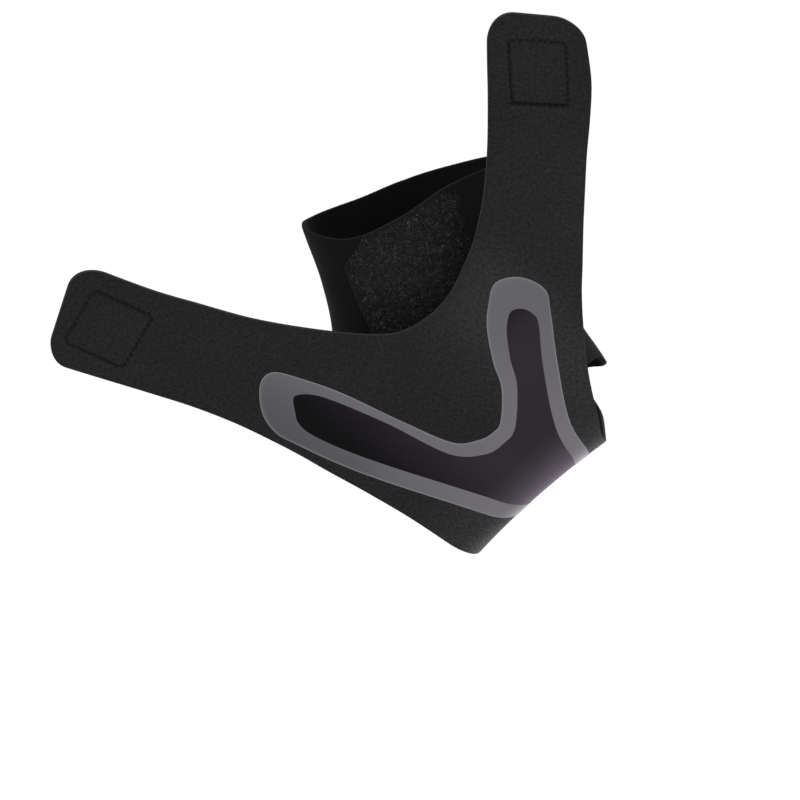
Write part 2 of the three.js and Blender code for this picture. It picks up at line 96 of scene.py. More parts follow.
# Angle in degrees from the front, then the upper and the lower edge in sleeve heights
SLEEVE_EDGES = np.array([
    (0, 0.196, -0.44),
    (35, 0.194, -0.43),
    (60, 0.206, -0.39),
    (90, 0.29, -0.36),
    (115, 0.384, -0.33),
    (140, 0.427, -0.26),
    (160, 0.44, -0.246),
    (170, 0.443, -0.254),
    (180, 0.44, -0.286),
    (200, 0.415, -0.325),
    (220, 0.38, -0.362),
    (245, 0.332, -0.43),
    (270, 0.28, -0.5),
    (300, 0.214, -0.53),
    (330, 0.187, -0.5),
    (360, 0.196, -0.44),
])

# Fold lines of the wrap up to the notch: front edge, back edge and middle seam, each
# along the foot in band widths and round it in panel heights
PANEL_FOLDS = np.array([
    (-0.512, -0.1, 0.488, -0.1, 0, -0.1),
    (-0.519, 0.17, 0.489, 0.18, 0.012, 0.184),
    (-0.547, 0.316, 0.616, 0.34, 0.05, 0.33),
    (-0.585, 0.493, 0.751, 0.475, 0.1, 0.5),
    (-0.637, 0.665, 0.91, 0.605, 0.195, 0.735),
    (-0.692, 0.824, 1.031, 0.694, 0.33, 1),
])

# Fold lines of a strap: middle from the notch in strap reaches, width in strap widths,
# lean in degrees
FRONT_STRAP_FOLDS = np.array([
    (-0.312, -0.011, 1.5, 10),
    (-0.364, 0.083, 1.3, 9.6),
    (-0.421, 0.201, 1.125, 12.7),
    (-0.477, 0.323, 1.025, 14.2),
    (-0.533, 0.454, 1, 15),
    (-0.588, 0.586, 0.99, 15.8),
    (-0.651, 0.763, 1.03, 28),
])
REAR_STRAP_FOLDS = np.array([
    (0.273, -0.105, 1.37, 148),
    (0.359, -0.044, 1.25, 153.6),
    (0.448, 0.024, 1.157, 157.6),
    (0.546, 0.11, 1.076, 157),
    (0.64, 0.2, 1.036, 152),
    (0.731, 0.298, 1.01, 142.5),
    (0.803, 0.389, 0.975, 136.7),
    (0.88, 0.49, 0.93, 127.5),
])

# Share of the way up the loop panel, then its front and back edge as sleeve angles
LOOP_PANEL_EDGES = np.array([
    (0, 57, 116),
    (0.3, 53, 116.5),
    (0.55, 50.5, 117),
    (0.78, 51, 117.5),
    (0.9, 61, 118),
    (1, 70, 118),
])

# Stripe, a closed loop from the front of the sole: middle along and round the foot,
# width in stripe widths, direction to its outer edge in degrees
STRIPE_SECTIONS = np.array([
    (-0.167, 0.24, 1.07, -158),
    (-0.466, 0.66, 1.01, -160),
    (-0.578, 0.84, 0.95, -168),
    (-0.64, 0.977, 1.04, 171),
    (-0.652, 1.05, 1.41, 159),
    (-0.614, 1.113, 1.89, 132),
    (-0.532, 1.172, 2.18, 104),
    (-0.466, 1.173, 2.05, 86),
    (-0.397, 1.109, 1.08, 69),
    (-0.325, 1.003, 0.66, 1),
    (-0.225, 0.8, 0.76, -32),
    (-0.121, 0.588, 0.76, 34),
    (0.004, 0.512, 1.03, 67),
    (0.109, 0.497, 0.98, 86),
    (0.201, 0.511, 0.97, 108),
    (0.363, 0.611, 0.9, 141),
    (0.443, 0.701, 0.99, 142),
    (0.543, 0.792, 1.28, 111),
    (0.621, 0.84, 1.57, 91),
    (0.71, 0.873, 2.06, 74),
    (0.796, 0.841, 1.98, 52),
    (0.829, 0.772, 1.67, 27),
    (0.781, 0.713, 1.08, 10),
    (0.617, 0.575, 0.88, -19),
    (0.415, 0.375, 0.9, -16),
    (0.338, 0.21, 1.01, -22),
    (0.25, 0.077, 1.08, -36),
    (0.061, -0.029, 1, -90),
    (-0.1, 0.082, 1.02, -140),
])

# How finely the cloth is meshed
EDGE_STEPS = np.array([0, 0.18, 0.6])  # first columns from a cut edge
EDGE_ROUND = 0.6  # radius of the cloth's cut edges
WRAP_COLUMNS = 72
PANEL_ROW_SPACING = 1.5
STRAP_ROW_SPACING = 1.3
PATCH_ROW_SPACING = 0.6
PATCH_ZONE = 45  # from the tip
SLEEVE_COLUMNS = 300
SLEEVE_ROWS = 76
FILM_ROW_SPACING = 1.1
FILM_COLUMNS = 8
PILE_COLUMNS = 80
PILE_ROWS = 84
TAPE_ROWS = 48
TAPE_COLUMNS = 44
PILE_STEPS = (1.0, 0.75)  # from row to row and from column to column, about
TAPE_STEPS = (0.6, 0.6)
CUT_REACH = 0.1  # points this near an edge show the cut foam

# Sewing
STITCH_LENGTH = 2.1
STITCH_GAP = 0.6
STITCH_PITCH = STITCH_LENGTH + STITCH_GAP
THREAD = 0.8
STITCH_INSET = 0.7  # from the hook patch's edge to its stitches
SEAM_CORNER = 2.5  # radius of the seam's corners
TAB_SEAM_INSET = 4  # from the edges of the wrap's inner end
TAB_SEAM_HEIGHT = 40
THREAD_LIFT = 0.06  # over the groove in the outer face
TAPE_THREAD_LIFT = 0.55  # over the cloth under the tape
TAB_THREAD_LIFT = 0.1

# Relief of the wrap's outer face: slight waves of the held straps, the seams' grooves and
# puckers, the swell over a patch and the fold below the rear patch
WAVE_HEIGHT = 0.22
WAVES_START = 95
WAVES_FULL = 150
GROOVE_DEPTH = 0.5
GROOVE_WIDTH = 0.6
PUCKER_DEPTH = 0.12
PUCKER_WIDTH = 1.4
PATCH_SWELL = 0.16
FOLD_DEPTH = 0.7
FOLD_WIDTH = 0.9
FOLD_INSET = 0.4

# Painted light and shade over the wrap and the sleeve, as multiples of a material's own tone
SOLE_BEND = 24  # girth at which the cloth bends round the sole's outer edge
HEEL_SIDE_LIGHT = 0.7  # of the cloth towards the heel
CLOTH_BEND_LIGHT = 5.5
PRINT_LEAST = 0.13
PRINT_RISE = 0.9
PRINT_BEND_LIGHT = 6.9
FILM_LEAST = 0.61
FILM_RISE = 0.37
FILM_LOW_LIGHT = 0.17
FILM_BEND_LIGHT = 2.5
SEAM_SHADE = 0.85
PUCKER_LIGHT = 0.3
FOLD_SHADE = 0.6
STREAK_PALENESS = 1.1
SLEEVE_LIGHT = 0.9  # of the sleeve behind the loop panel

# Heights over the face that a piece lies on
FILM_SEAT = 0.015
FILM_EDGE = 0.04
FILM_RISE_HEIGHT = 0.12
FILM_RIM_HEIGHT = 0.05
FILM_RIM_WIDTH = 0.45
PILE_SEAT = 0.04
PILE_EDGE = 0.15
PILE_RISE = 0.95
TAPE_SEAT = 0.03
TAPE_EDGE = 0.35
TAPE_RISE = 0.45
TAPE_GROOVE = 0.3


def smoothstep(value, low, high):
    """0 up to low, 1 from high on, and a smooth rise between them."""
    share = np.clip((value - low) / (high - low), 0, 1)
    return share * share * (3 - 2 * share)


def bell(distance, width):
    """1 at no distance, falling off on both sides over a width."""
    return np.exp(-(distance / width) ** 2)


def through_rows(rows, places):
    """Smooth curve through rows of numbers, at places counted in rows."""
    last = len(rows) - 1
    places = np.clip(places, 0, last)
    start = np.minimum(places.astype(int), last - 1)
    t = (places - start)[..., None]
    padded = np.vstack([2 * rows[0] - rows[1], rows, 2 * rows[-1] - rows[-2]])
    before, here, there, after = (padded[start + k] for k in range(4))
    slope = (there - before) / 2
    next_slope = (after - here) / 2
    change = there - here
    square = 3 * change - 2 * slope - next_slope
    cube = slope + next_slope - 2 * change
    return here + t * (slope + t * (square + t * cube))


def rows_at(rows, values):
    """Row at which the rising first column reaches each value."""
    return through_rows(rows, np.interp(values, rows[:, 0], np.arange(len(rows))))


# Sleeve surface

sleeve_rows = SLEEVE_SECTIONS * (SLEEVE_HEIGHT, ANKLE_DEPTH, ANKLE_DEPTH, ANKLE_WIDTH / 2)
sleeve_edge_rows = SLEEVE_EDGES * (1, SLEEVE_HEIGHT, SLEEVE_HEIGHT)


def sleeve_section(z):
    """Middle, half depth and half width of the sleeve at a height."""
    _, front, back, half_width = np.moveaxis(rows_at(sleeve_rows, z), -1, 0)
    return (front + back) / 2, (back - front) / 2, half_width


def sleeve_level(points):
    """1 on the sleeve's outer surface, less inside it and more outside."""
    x, y, z = np.moveaxis(points, -1, 0)
    middle, half_depth, half_width = sleeve_section(z)
    along = np.abs((x - middle) / half_depth) ** SECTION_POWER
    return along + np.abs(y / half_width) ** SECTION_POWER


def sleeve_normal(points):
    """The way straight out from the sleeve, from the slope of its level."""
    steps = 0.05 * np.eye(3)
    slopes = [sleeve_level(points + step) - sleeve_level(points - step) for step in steps]
    normal = np.stack(slopes, -1)
    return normal / np.linalg.norm(normal, axis=-1, keepdims=True)


def sleeve_point(angle, z):
    """Points on the outer surface: angle in degrees from the front by the outer side."""
    middle, half_depth, half_width = sleeve_section(z)
    cosine = np.cos(np.radians(angle))
    sine = np.sin(np.radians(angle))
    power = 2 / SECTION_POWER
    x = middle - half_depth * np.sign(cosine) * np.abs(cosine) ** power
    y = -half_width * np.sign(sine) * np.abs(sine) ** power
    return np.stack([x, y, z], -1)


def sleeve_edges(angle):
    """Heights of the edges by the direction in which a point lies on the squared section."""
    quarter = np.floor(angle / 90) * 90
    sine = np.sin(np.radians(angle - quarter)) ** (2 / SECTION_POWER)
    cosine = np.cos(np.radians(angle - quarter)) ** (2 / SECTION_POWER)
    direction = np.mod(quarter + np.degrees(np.arctan2(sine, cosine)), 360)
    _, top, bottom = np.moveaxis(rows_at(sleeve_edge_rows, direction), -1, 0)
    return top, bottom


def steps_round_sleeve(angle):
    """Lengths from one angle to the next at the height of the ankle."""
    return np.linalg.norm(np.diff(sleeve_point(angle, 0 * angle), axis=0), axis=1)


# Wrap surface: a flat pattern bent round the foot

to_heel = np.array([math.cos(FOOT_PITCH), 0, math.sin(FOOT_PITCH)])
up_from_sole = np.array([-math.sin(FOOT_PITCH), 0, math.cos(FOOT_PITCH)])
outer_turn = math.pi / 2 - SIDE_LEAN
sole_half_flat = ANKLE_WIDTH / 2 + SIDE_CLEARANCE - SOLE_CORNER_RADIUS * math.sin(outer_turn)
outer_corner_end = sole_half_flat + SOLE_CORNER_RADIUS * outer_turn
inner_corner_end = sole_half_flat + SOLE_CORNER_RADIUS * math.pi / 2


def around_foot(girth):
    """How far out and how far up from the sole a length round the foot comes."""
    outer_angle = np.clip((girth - sole_half_flat) / SOLE_CORNER_RADIUS, 0, outer_turn)
    inner_angle = np.clip((-girth - sole_half_flat) / SOLE_CORNER_RADIUS, 0, math.pi / 2)
    up_outer = np.maximum(girth - outer_corner_end, 0)
    up_inner = np.maximum(-girth - inner_corner_end, 0)
    bow = STRAP_FLARE * (np.maximum(girth - FLARE_START, 0) / FLARE_LENGTH) ** 2
    flat = np.clip(girth, -sole_half_flat, sole_half_flat)
    corner = SOLE_CORNER_RADIUS * (np.sin(outer_angle) - np.sin(inner_angle))
    rise = SOLE_CORNER_RADIUS * (2 - np.cos(outer_angle) - np.cos(inner_angle))
    across = flat + corner + up_outer * math.sin(SIDE_LEAN) + bow * math.cos(SIDE_LEAN)
    up = rise + up_outer * math.cos(SIDE_LEAN) + up_inner - bow * math.sin(SIDE_LEAN)
    return across, up


def clear_of_sleeve(x, z):
    """How far the inner side of the wrap stands out to lie on the sleeve."""
    middle, half_depth, half_width = sleeve_section(z)
    along = np.clip(np.abs((x - middle) / half_depth), 0, 1) ** SECTION_POWER
    surface = half_width * (1 - along) ** (1 / SECTION_POWER)
    return surface + PIECE_GAP + WRAP_THICKNESS / 2


def wrap_point(flat):
    """Middle of the cloth's thickness at a point of the flat pattern."""
    along, girth = flat[..., 0], flat[..., 1]
    across, up = around_foot(girth)
    under_foot = 1 - smoothstep(np.abs(girth), sole_half_flat, outer_corner_end)
    arch = SOLE_ARCH * under_foot * np.maximum(1 - (2 * along / BAND_WIDTH) ** 2, 0)
    point = (BAND_SETBACK + along)[..., None] * to_heel
    point = point + (up + arch - SOLE_DEPTH)[..., None] * up_from_sole
    point[..., 1] -= across
    share = smoothstep(-girth, sole_half_flat, inner_corner_end)
    clear = clear_of_sleeve(point[..., 0], point[..., 2])
    pushed = np.maximum(point[..., 1], point[..., 1] + (clear - point[..., 1]) * share)
    point[..., 1] = np.where(girth < 0, pushed, point[..., 1])
    return point


def wrap_normal(flat):
    """The way straight out from the wrap's outer face."""
    step = 0.5
    onward = wrap_point(flat + (step, 0)) - wrap_point(flat - (step, 0))
    around = wrap_point(flat + (0, step)) - wrap_point(flat - (0, step))
    normal = np.cross(onward, around)
    return normal / np.linalg.norm(normal, axis=-1, keepdims=True)


# Outline of the flat pattern

PANEL_SCALE = (BAND_WIDTH, PANEL_HEIGHT)
notch = PANEL_FOLDS[-1, 4:6] * PANEL_SCALE
NOTCH_PLACE = len(PANEL_FOLDS)


def panel_edge(column):
    """One edge, or the seam, from the wrap's inner end to the notch's height."""
    rows = PANEL_FOLDS[:, column:column + 2] * PANEL_SCALE
    return np.vstack([(rows[0, 0], -INNER_TAB_HEIGHT), rows])


def strap_folds(table, reach, width):
    """Outer and notch-side end of each fold line of a strap."""
    middle = notch + table[:, :2] * reach
    lean = np.radians(table[:, 3])
    half = np.stack([np.cos(lean), np.sin(lean)], -1) * table[:, 2:3] * width / 2
    return middle - half, middle + half


def half_pattern(column, folds, other_folds):
    """Half of the wrap from its inner end to one tip: rows of outer, seam and notch edge."""
    return {
        "outer": np.vstack([panel_edge(column), folds[0]]),
        "seam": panel_edge(4),
        "notch": np.vstack([other_folds[1][:1], notch, folds[1]]),
    }


front_folds = strap_folds(FRONT_STRAP_FOLDS, FRONT_STRAP_REACH, FRONT_STRAP_WIDTH)
rear_folds = strap_folds(REAR_STRAP_FOLDS, REAR_STRAP_REACH, REAR_STRAP_WIDTH)
front_half = half_pattern(0, front_folds, rear_folds)
rear_half = half_pattern(2, rear_folds, front_folds)


def fold_ends(half, places):
    """Outer and inner end of the row at each place along a half."""
    outer = through_rows(half["outer"], places)
    seam = through_rows(half["seam"], places)
    notch_edge = through_rows(half["notch"], 1 + places - NOTCH_PLACE)
    inner = np.where((places <= NOTCH_PLACE)[:, None], seam, notch_edge)
    return np.stack([outer, inner], 1)


def middle_line(half):
    """Places along a strap with the middle line's points and lengths to the tip."""
    places = np.linspace(NOTCH_PLACE, len(half["outer"]) - 1, 600)
    middle = fold_ends(half, places).mean(1)
    steps = np.linalg.norm(np.diff(middle, axis=0), axis=1)
    to_tip = np.append(np.cumsum(steps[::-1])[::-1], 0)
    return places, middle, to_tip


def from_tip(half, lengths):
    """Places and points of a strap's middle line at lengths from its tip."""
    places, middle, to_tip = middle_line(half)
    place = np.interp(lengths, to_tip[::-1], places[::-1])
    spots = [np.interp(lengths, to_tip[::-1], middle[::-1, k]) for k in range(2)]
    return place, np.stack(spots, -1)


def panel_places():
    """Rows shared by both halves, from the inner end to the notch."""
    seam = panel_edge(4)
    lengths = np.linalg.norm(np.diff(seam, axis=0), axis=1)
    places = [EDGE_STEPS[1:] / lengths[0]]
    for start, length in enumerate(lengths):
        places.append(start + np.arange(0, 1, PANEL_ROW_SPACING / length))
    return np.unique(np.concatenate(places + [[NOTCH_PLACE]]))


def pattern_rows(half):
    """Ends of every row, close together over the hook patch and round the tip."""
    panel = fold_ends(half, panel_places())
    whole = middle_line(half)[2][0]
    plain = np.arange(whole - STRAP_ROW_SPACING, PATCH_ZONE, -STRAP_ROW_SPACING)
    fine = np.arange(PATCH_ZONE, TIP_CORNER_RADIUS, -PATCH_ROW_SPACING)
    strap = fold_ends(half, from_tip(half, np.append(plain, fine))[0])
    turn = np.radians(np.arange(0, 91, 5))
    ends = fold_ends(half, from_tip(half, TIP_CORNER_RADIUS * (1 - np.sin(turn)))[0])
    width = np.linalg.norm(ends[:, 1] - ends[:, 0], axis=1)
    inset = (TIP_CORNER_RADIUS * (1 - np.cos(turn)) / width)[:, None]
    across = ends[:, 1] - ends[:, 0]
    tip = np.stack([ends[:, 0] + across * inset, ends[:, 1] - across * inset], 1)
    return np.concatenate([panel, strap, tip]), len(panel)


def edge_spaced(length, count):
    """Places from 0 to each length: close together at both ends, even between them."""
    length = np.asarray(length)[..., None]
    step = EDGE_STEPS[-1]
    even = step + (length - 2 * step) * np.linspace(0, 1, count + 2)[1:-1]
    first = EDGE_STEPS + 0 * length
    return np.concatenate([first, even, length - first[..., ::-1]], -1)


def cells(index):
    """Quads between neighbours in a grid of point numbers."""
    corners = [index[:-1, :-1], index[1:, :-1], index[1:, 1:], index[:-1, 1:]]
    return np.stack(corners, -1).reshape(-1, 4)


def wrap_pattern():
    """Flat points of both halves, their quads, and the closed outline."""
    points = []
    quads = []
    outlines = []
    start = 0
    shared = None
    for half, turned in ((front_half, False), (rear_half, True)):
        ends, panel_count = pattern_rows(half)
        width = np.linalg.norm(ends[:, 1] - ends[:, 0], axis=1)
        share = edge_spaced(width, WRAP_COLUMNS) / width[:, None]
        flat = ends[:, :1] + (ends[:, 1:] - ends[:, :1]) * share[..., None]
        index = start + np.arange(flat[..., 0].size).reshape(share.shape)
        if shared is not None:
            index[:panel_count, -1] = shared
        shared = index[:panel_count, -1].copy()
        start += flat[..., 0].size
        quads.append(cells(index)[:, ::-1] if turned else cells(index))
        points.append(flat.reshape(-1, 2))
        outlines.append((ends[:, 0], ends[panel_count - 1:, 1]))
    (front_outer, front_notch), (rear_outer, rear_notch) = outlines
    outline = [front_outer, front_notch[::-1], rear_notch[1:], rear_outer[::-1]]
    return np.concatenate(points), np.concatenate(quads), np.concatenate(outline)


def to_outline(points, outline, reach):
    """Distance of each point to a closed outline, up to reach."""
    along = np.roll(outline, -1, axis=0) - outline
    square = np.maximum((along ** 2).sum(1), 1e-12)
    least = []
    for part in np.array_split(points, len(points) // 4000 + 1):
        offset = part[:, None] - outline
        share = np.clip((offset * along).sum(-1) / square, 0, 1)
        gap = np.linalg.norm(offset - share[..., None] * along, axis=-1)
        least.append(np.minimum(gap.min(1), reach))
    return np.concatenate(least)


def inside(points, outline):
    """Which points lie inside a closed outline."""
    x, y = points[:, :1], points[:, 1:]
    x0, y0 = outline[:, 0], outline[:, 1]
    x1, y1 = np.roll(x0, -1), np.roll(y0, -1)
    rise = np.where(np.abs(y1 - y0) < 1e-9, 1e-9, y1 - y0)
    crosses = ((y0 > y) != (y1 > y)) & (x < x0 + (y - y0) * (x1 - x0) / rise)
    return crosses.sum(1) % 2 == 1


# Hook patches in the flat pattern, and what their sewing does to the cloth

def quarter_turn(vector):
    """A flat vector turned from along to round the foot."""
    return np.array([-vector[1], vector[0]])


def hook_patch_place(half, width, inset, shift, turn, skew):
    """Middle of a hook patch, its ways towards the tip and across, its skew and width."""
    near, far = from_tip(half, np.array([inset, inset + HOOK_PATCH_LENGTH]))[1]
    to_tip = (near - far) / np.linalg.norm(near - far)
    start = far + shift * quarter_turn(to_tip)
    angle = math.radians(turn)
    way = to_tip * math.cos(angle) + quarter_turn(to_tip) * math.sin(angle)
    return {
        "middle": start + way * HOOK_PATCH_LENGTH / 2, "way": way,
        "across": quarter_turn(way), "skew": skew, "width": width,
    }


front_patch = hook_patch_place(front_half, **FRONT_PATCH)
rear_patch = hook_patch_place(rear_half, **REAR_PATCH)


def on_patch(flat, patch):
    """Lengths towards the tip and sideways from a patch's middle."""
    offset = flat - patch["middle"]
    side = offset @ patch["across"]
    return offset @ patch["way"] - patch["skew"] * side, side


def patch_flat(patch, length, side):
    """Flat pattern points of a patch from lengths towards the tip and sideways."""
    length = length + patch["skew"] * side
    return patch["middle"] + length[..., None] * patch["way"] + side[..., None] * patch["across"]


def to_patch_seam(flat, patch):
    """Distance to the seam round a patch, negative inside it."""
    length, side = on_patch(flat, patch)
    over_length = np.abs(length) - (HOOK_PATCH_LENGTH / 2 - STITCH_INSET - SEAM_CORNER)
    over_side = np.abs(side) - (patch["width"] / 2 - STITCH_INSET - SEAM_CORNER)
    outside = np.hypot(np.maximum(over_length, 0), np.maximum(over_side, 0))
    return outside + np.minimum(np.maximum(over_length, over_side), 0) - SEAM_CORNER


def stitch_ripple(flat, patch):
    """One wave for each stitch along a patch's seam, from -1 to 1."""
    length, side = on_patch(flat, patch)
    return np.cos(2 * math.pi * (length + side) / STITCH_PITCH)


def outer_relief(flat):
    """How far the outer face stands out, in millimetres."""
    along, girth = flat[..., 0], flat[..., 1]
    relief = WAVE_HEIGHT * np.sin(along / 13 + girth / 29) * np.sin(girth / 17 - along / 41)
    relief = relief * smoothstep(girth, WAVES_START, WAVES_FULL)
    for patch in (front_patch, rear_patch):
        gap = to_patch_seam(flat, patch)
        relief = relief - GROOVE_DEPTH * bell(gap, GROOVE_WIDTH)
        relief = relief + PATCH_SWELL * (1 - smoothstep(gap, -2.5, 0))
        relief = relief - PUCKER_DEPTH * stitch_ripple(flat, patch) * bell(gap, PUCKER_WIDTH)
    length, side = on_patch(flat, rear_patch)
    fold = bell(length + HOOK_PATCH_LENGTH / 2 - FOLD_INSET, FOLD_WIDTH)
    return relief - FOLD_DEPTH * fold * (1 - 0.75 * smoothstep(np.abs(side), 12, 15))


# Painted light and shade over the pattern, as a multiple of a material's own tone

def near_bend(girth, reach):
    """1 where the cloth bends round under the sole's outer edge, falling off on both sides."""
    return np.maximum(1 - np.abs(girth - SOLE_BEND) / reach, 0) ** 2


def low_down(girth):
    """1 round the foot's lower part, 0 from the height of the ankle upwards."""
    return 1 - smoothstep(np.abs(girth - SOLE_BEND), 5, 55)


def seam_tone(flat):
    """Painted shade down in a patch's seam groove and painted highlights on the puckers beside
    it.
    Below the rear patch, painted shade in the fold and paler small streaks just under it."""
    tone = 1.0
    for patch in (front_patch, rear_patch):
        gap = to_patch_seam(flat, patch)
        pucker = np.maximum(stitch_ripple(flat, patch), 0)
        tone = tone * (1 - SEAM_SHADE * (0.2 + 0.8 * pucker) * bell(gap, 0.75))
        tone = tone * (1 + PUCKER_LIGHT * pucker * bell(gap - 1.5, 0.7))
    length, side = on_patch(flat, rear_patch)
    below = length + HOOK_PATCH_LENGTH / 2
    reach = 1 - smoothstep(np.abs(side), 12, 14)
    streaks = np.maximum(np.sin(side * 2.9) * np.sin(side * 1.7 + below * 2.1), 0)
    tone = tone * (1 - FOLD_SHADE * bell(below - FOLD_INSET, 0.8) * reach)
    return tone * (1 + STREAK_PALENESS * bell(below + 1.6, 0.9) * reach * streaks)


def cloth_tone(flat):
    """Painted light on the knit: paler towards the heel and low round the foot, a painted
    highlight over the bend, and the seams' painted shade.
    """
    along, girth = flat[..., 0], flat[..., 1]
    heel_side = smoothstep(along, 5, 50) * (1 - 0.7 * smoothstep(along, 60, 85))
    heel_side = heel_side * (1 - smoothstep(girth, 120, 165))
    painted_light_level = 1 + np.maximum(HEEL_SIDE_LIGHT * heel_side, low_down(girth))
    return (painted_light_level + CLOTH_BEND_LIGHT * near_bend(girth, 16)) * seam_tone(flat)


def print_tone(flat):
    """Painted light on the print: near black at the toes to dark grey, painted shade at its
    upper rear end, a painted highlight on the bend.
    """
    along, girth = flat[..., 0], flat[..., 1]
    dim_end = 1 - 0.5 * smoothstep(girth, 98, 113) * smoothstep(along, 10, 30)
    tone = dim_end * (PRINT_LEAST + PRINT_RISE * smoothstep(along, -45, 0))
    return tone + PRINT_BEND_LIGHT * near_bend(girth, 30)


def film_tone(flat):
    """Painted light on the film: darkest at the toes, paler low down, painted shade high up and
    at the heel end, and a painted highlight on the bend.
    """
    along, girth = flat[..., 0], flat[..., 1]
    behind = smoothstep(along, -60, -20)
    high_up = smoothstep(girth, 85, 110) * (0.07 - 0.04 * behind)
    tone = FILM_LEAST + FILM_RISE * behind + FILM_LOW_LIGHT * low_down(girth) - high_up
    return tone - 0.07 * smoothstep(along, 30, 45) + FILM_BEND_LIGHT * near_bend(girth, 14)


def rounded(gap, half):
    """Half thickness of cloth at a distance from its cut edge."""
    inner = EDGE_ROUND - np.minimum(gap, EDGE_ROUND)
    return half - EDGE_ROUND + np.sqrt(EDGE_ROUND ** 2 - inner ** 2)


def outer_face(flat, lift):
    """Points a lift over the wrap's outer face, away from its edges."""
    offset = WRAP_THICKNESS / 2 + outer_relief(flat) + lift
    return wrap_point(flat) + wrap_normal(flat) * offset[..., None]


# Mesh helpers

def compact(points, quads):
    """Drops the points that no quad uses."""
    used, renamed = np.unique(quads, return_inverse=True)
    return points[used], renamed.reshape(quads.shape)


def turned_inward(quads, points, normals):
    """Whether the quads turn their backs to the way that the normals point."""
    one_way = points[quads[:, 2]] - points[quads[:, 0]]
    other_way = points[quads[:, 3]] - points[quads[:, 1]]
    return (np.cross(one_way, other_way) * normals[quads[:, 0]]).sum(1).mean() < 0


def free_edges(quads):
    """Edges that only one quad has."""
    edges = np.concatenate([quads[:, [k, (k + 1) % 4]] for k in range(4)])
    pair = edges.min(1) * (quads.max() + 1) + edges.max(1)
    _, first, count = np.unique(pair, return_index=True, return_counts=True)
    return edges[first[count == 1]]


def both_faces(quads, count):
    """Outer quads, the same turned round for the inner face, and walls between them."""
    free = free_edges(quads)
    walls = np.stack([free[:, 1], free[:, 0], free[:, 0] + count, free[:, 1] + count], 1)
    return np.concatenate([quads, quads[:, ::-1] + count, walls])


def in_scene(name, data):
    """An object in the scene for a mesh, a light or a camera."""
    obj = bpy.data.objects.new(name, data)
    bpy.context.scene.collection.objects.link(obj)
    return obj


def shown(name, mesh, material):
    """A mesh in its material as an object in the scene."""
    mesh.materials.append(material)
    return in_scene(name, mesh)


def mesh_object(name, points, faces, material, uv=None, **columns):
    """A smooth mesh object in metres. uv is one pair for each corner of each face."""
    mesh = bpy.data.meshes.new(name)
    mesh.from_pydata((np.asarray(points) * MM).tolist(), [], np.asarray(faces).tolist())
    mesh.shade_smooth()
    if uv is not None:
        layer = mesh.uv_layers.new(name="flat")
        layer.data.foreach_set("uv", (uv * MM).astype(np.float32).ravel())
    for label, values in columns.items():
        column = mesh.attributes.new(label, "FLOAT", "POINT")
        column.data.foreach_set("value", values.astype(np.float32))
    return shown(name, mesh, material)


def grid_quads(rows, columns, closed=False):
    """Quads of a grid of rows by columns. closed joins the last row to the first."""
    index = np.arange(rows * columns).reshape(rows, columns)
    if closed:
        index = np.vstack([index, index[:1]])
    return cells(index)


# Material helpers. A noise scale counts features to the metre, so 950 makes specks of about
# 1 mm.

def linear(colour):
    """Linear RGBA from an sRGB hex colour."""
    shares = [int(colour[k:k + 2], 16) / 255 for k in (1, 3, 5)]
    return [s / 12.92 if s <= 0.04045 else ((s + 0.055) / 1.055) ** 2.4 for s in shares] + [1]


def add(tree, kind, links=None, stops=(), **settings):
    """Adds a node with its settings, and links or sets its sockets. stops are the places
    and colours of a ramp."""
    node = tree.nodes.new(kind)
    for name, value in settings.items():
        setattr(node, name, value)
    for number, (place, colour) in enumerate(stops):
        node.color_ramp.elements[number].position = place
        node.color_ramp.elements[number].color = linear(colour)
    for socket, value in (links or {}).items():
        if isinstance(value, bpy.types.NodeSocket):
            tree.links.new(value, node.inputs[socket])
        else:
            node.inputs[socket].default_value = value
    return node


def new_material(name):
    """An empty material and its node tree."""
    material = bpy.data.materials.new(name)
    material.use_nodes = True
    material.node_tree.nodes.clear()
    return material, material.node_tree


def close_material(tree, shader):
    """Links a finished shader to the material's surface."""
    add(tree, "ShaderNodeOutputMaterial", {"Surface": shader.outputs["BSDF"]})


MIX_A, MIX_B, MIX_RESULT = 6, 7, 2  # colour sockets of the Mix node
GRAIN_TURN = math.radians(40)  # slant of the knit's grain on the wrap


def wave_scale(pitch):
    """Scale of a wave pattern whose bands lie a pitch in millimetres apart."""
    return 2 * math.pi / (20 * pitch * MM)


def knit_pattern(tree, pitch, turn=0.0):
    """Rows of knit loops, pitch in millimetres, from 0 between the loops to 1 on them."""
    place = add(tree, "ShaderNodeUVMap", uv_map="flat").outputs["UV"]
    turned = add(tree, "ShaderNodeMapping", {"Vector": place, "Rotation": (0, 0, turn)})
    ribs = []
    for direction, share in (("X", 1.0), ("Y", 0.8)):
        ribs.append(add(tree, "ShaderNodeTexWave", {
            "Vector": turned.outputs["Vector"], "Scale": wave_scale(pitch) * share,
            "Distortion": 1.5, "Detail": 1.0, "Detail Scale": 2.0,
        }, bands_direction=direction).outputs["Fac"])
    both = add(tree, "ShaderNodeMath", {0: ribs[0], 1: ribs[1]}, operation="MULTIPLY")
    return both.outputs["Value"]


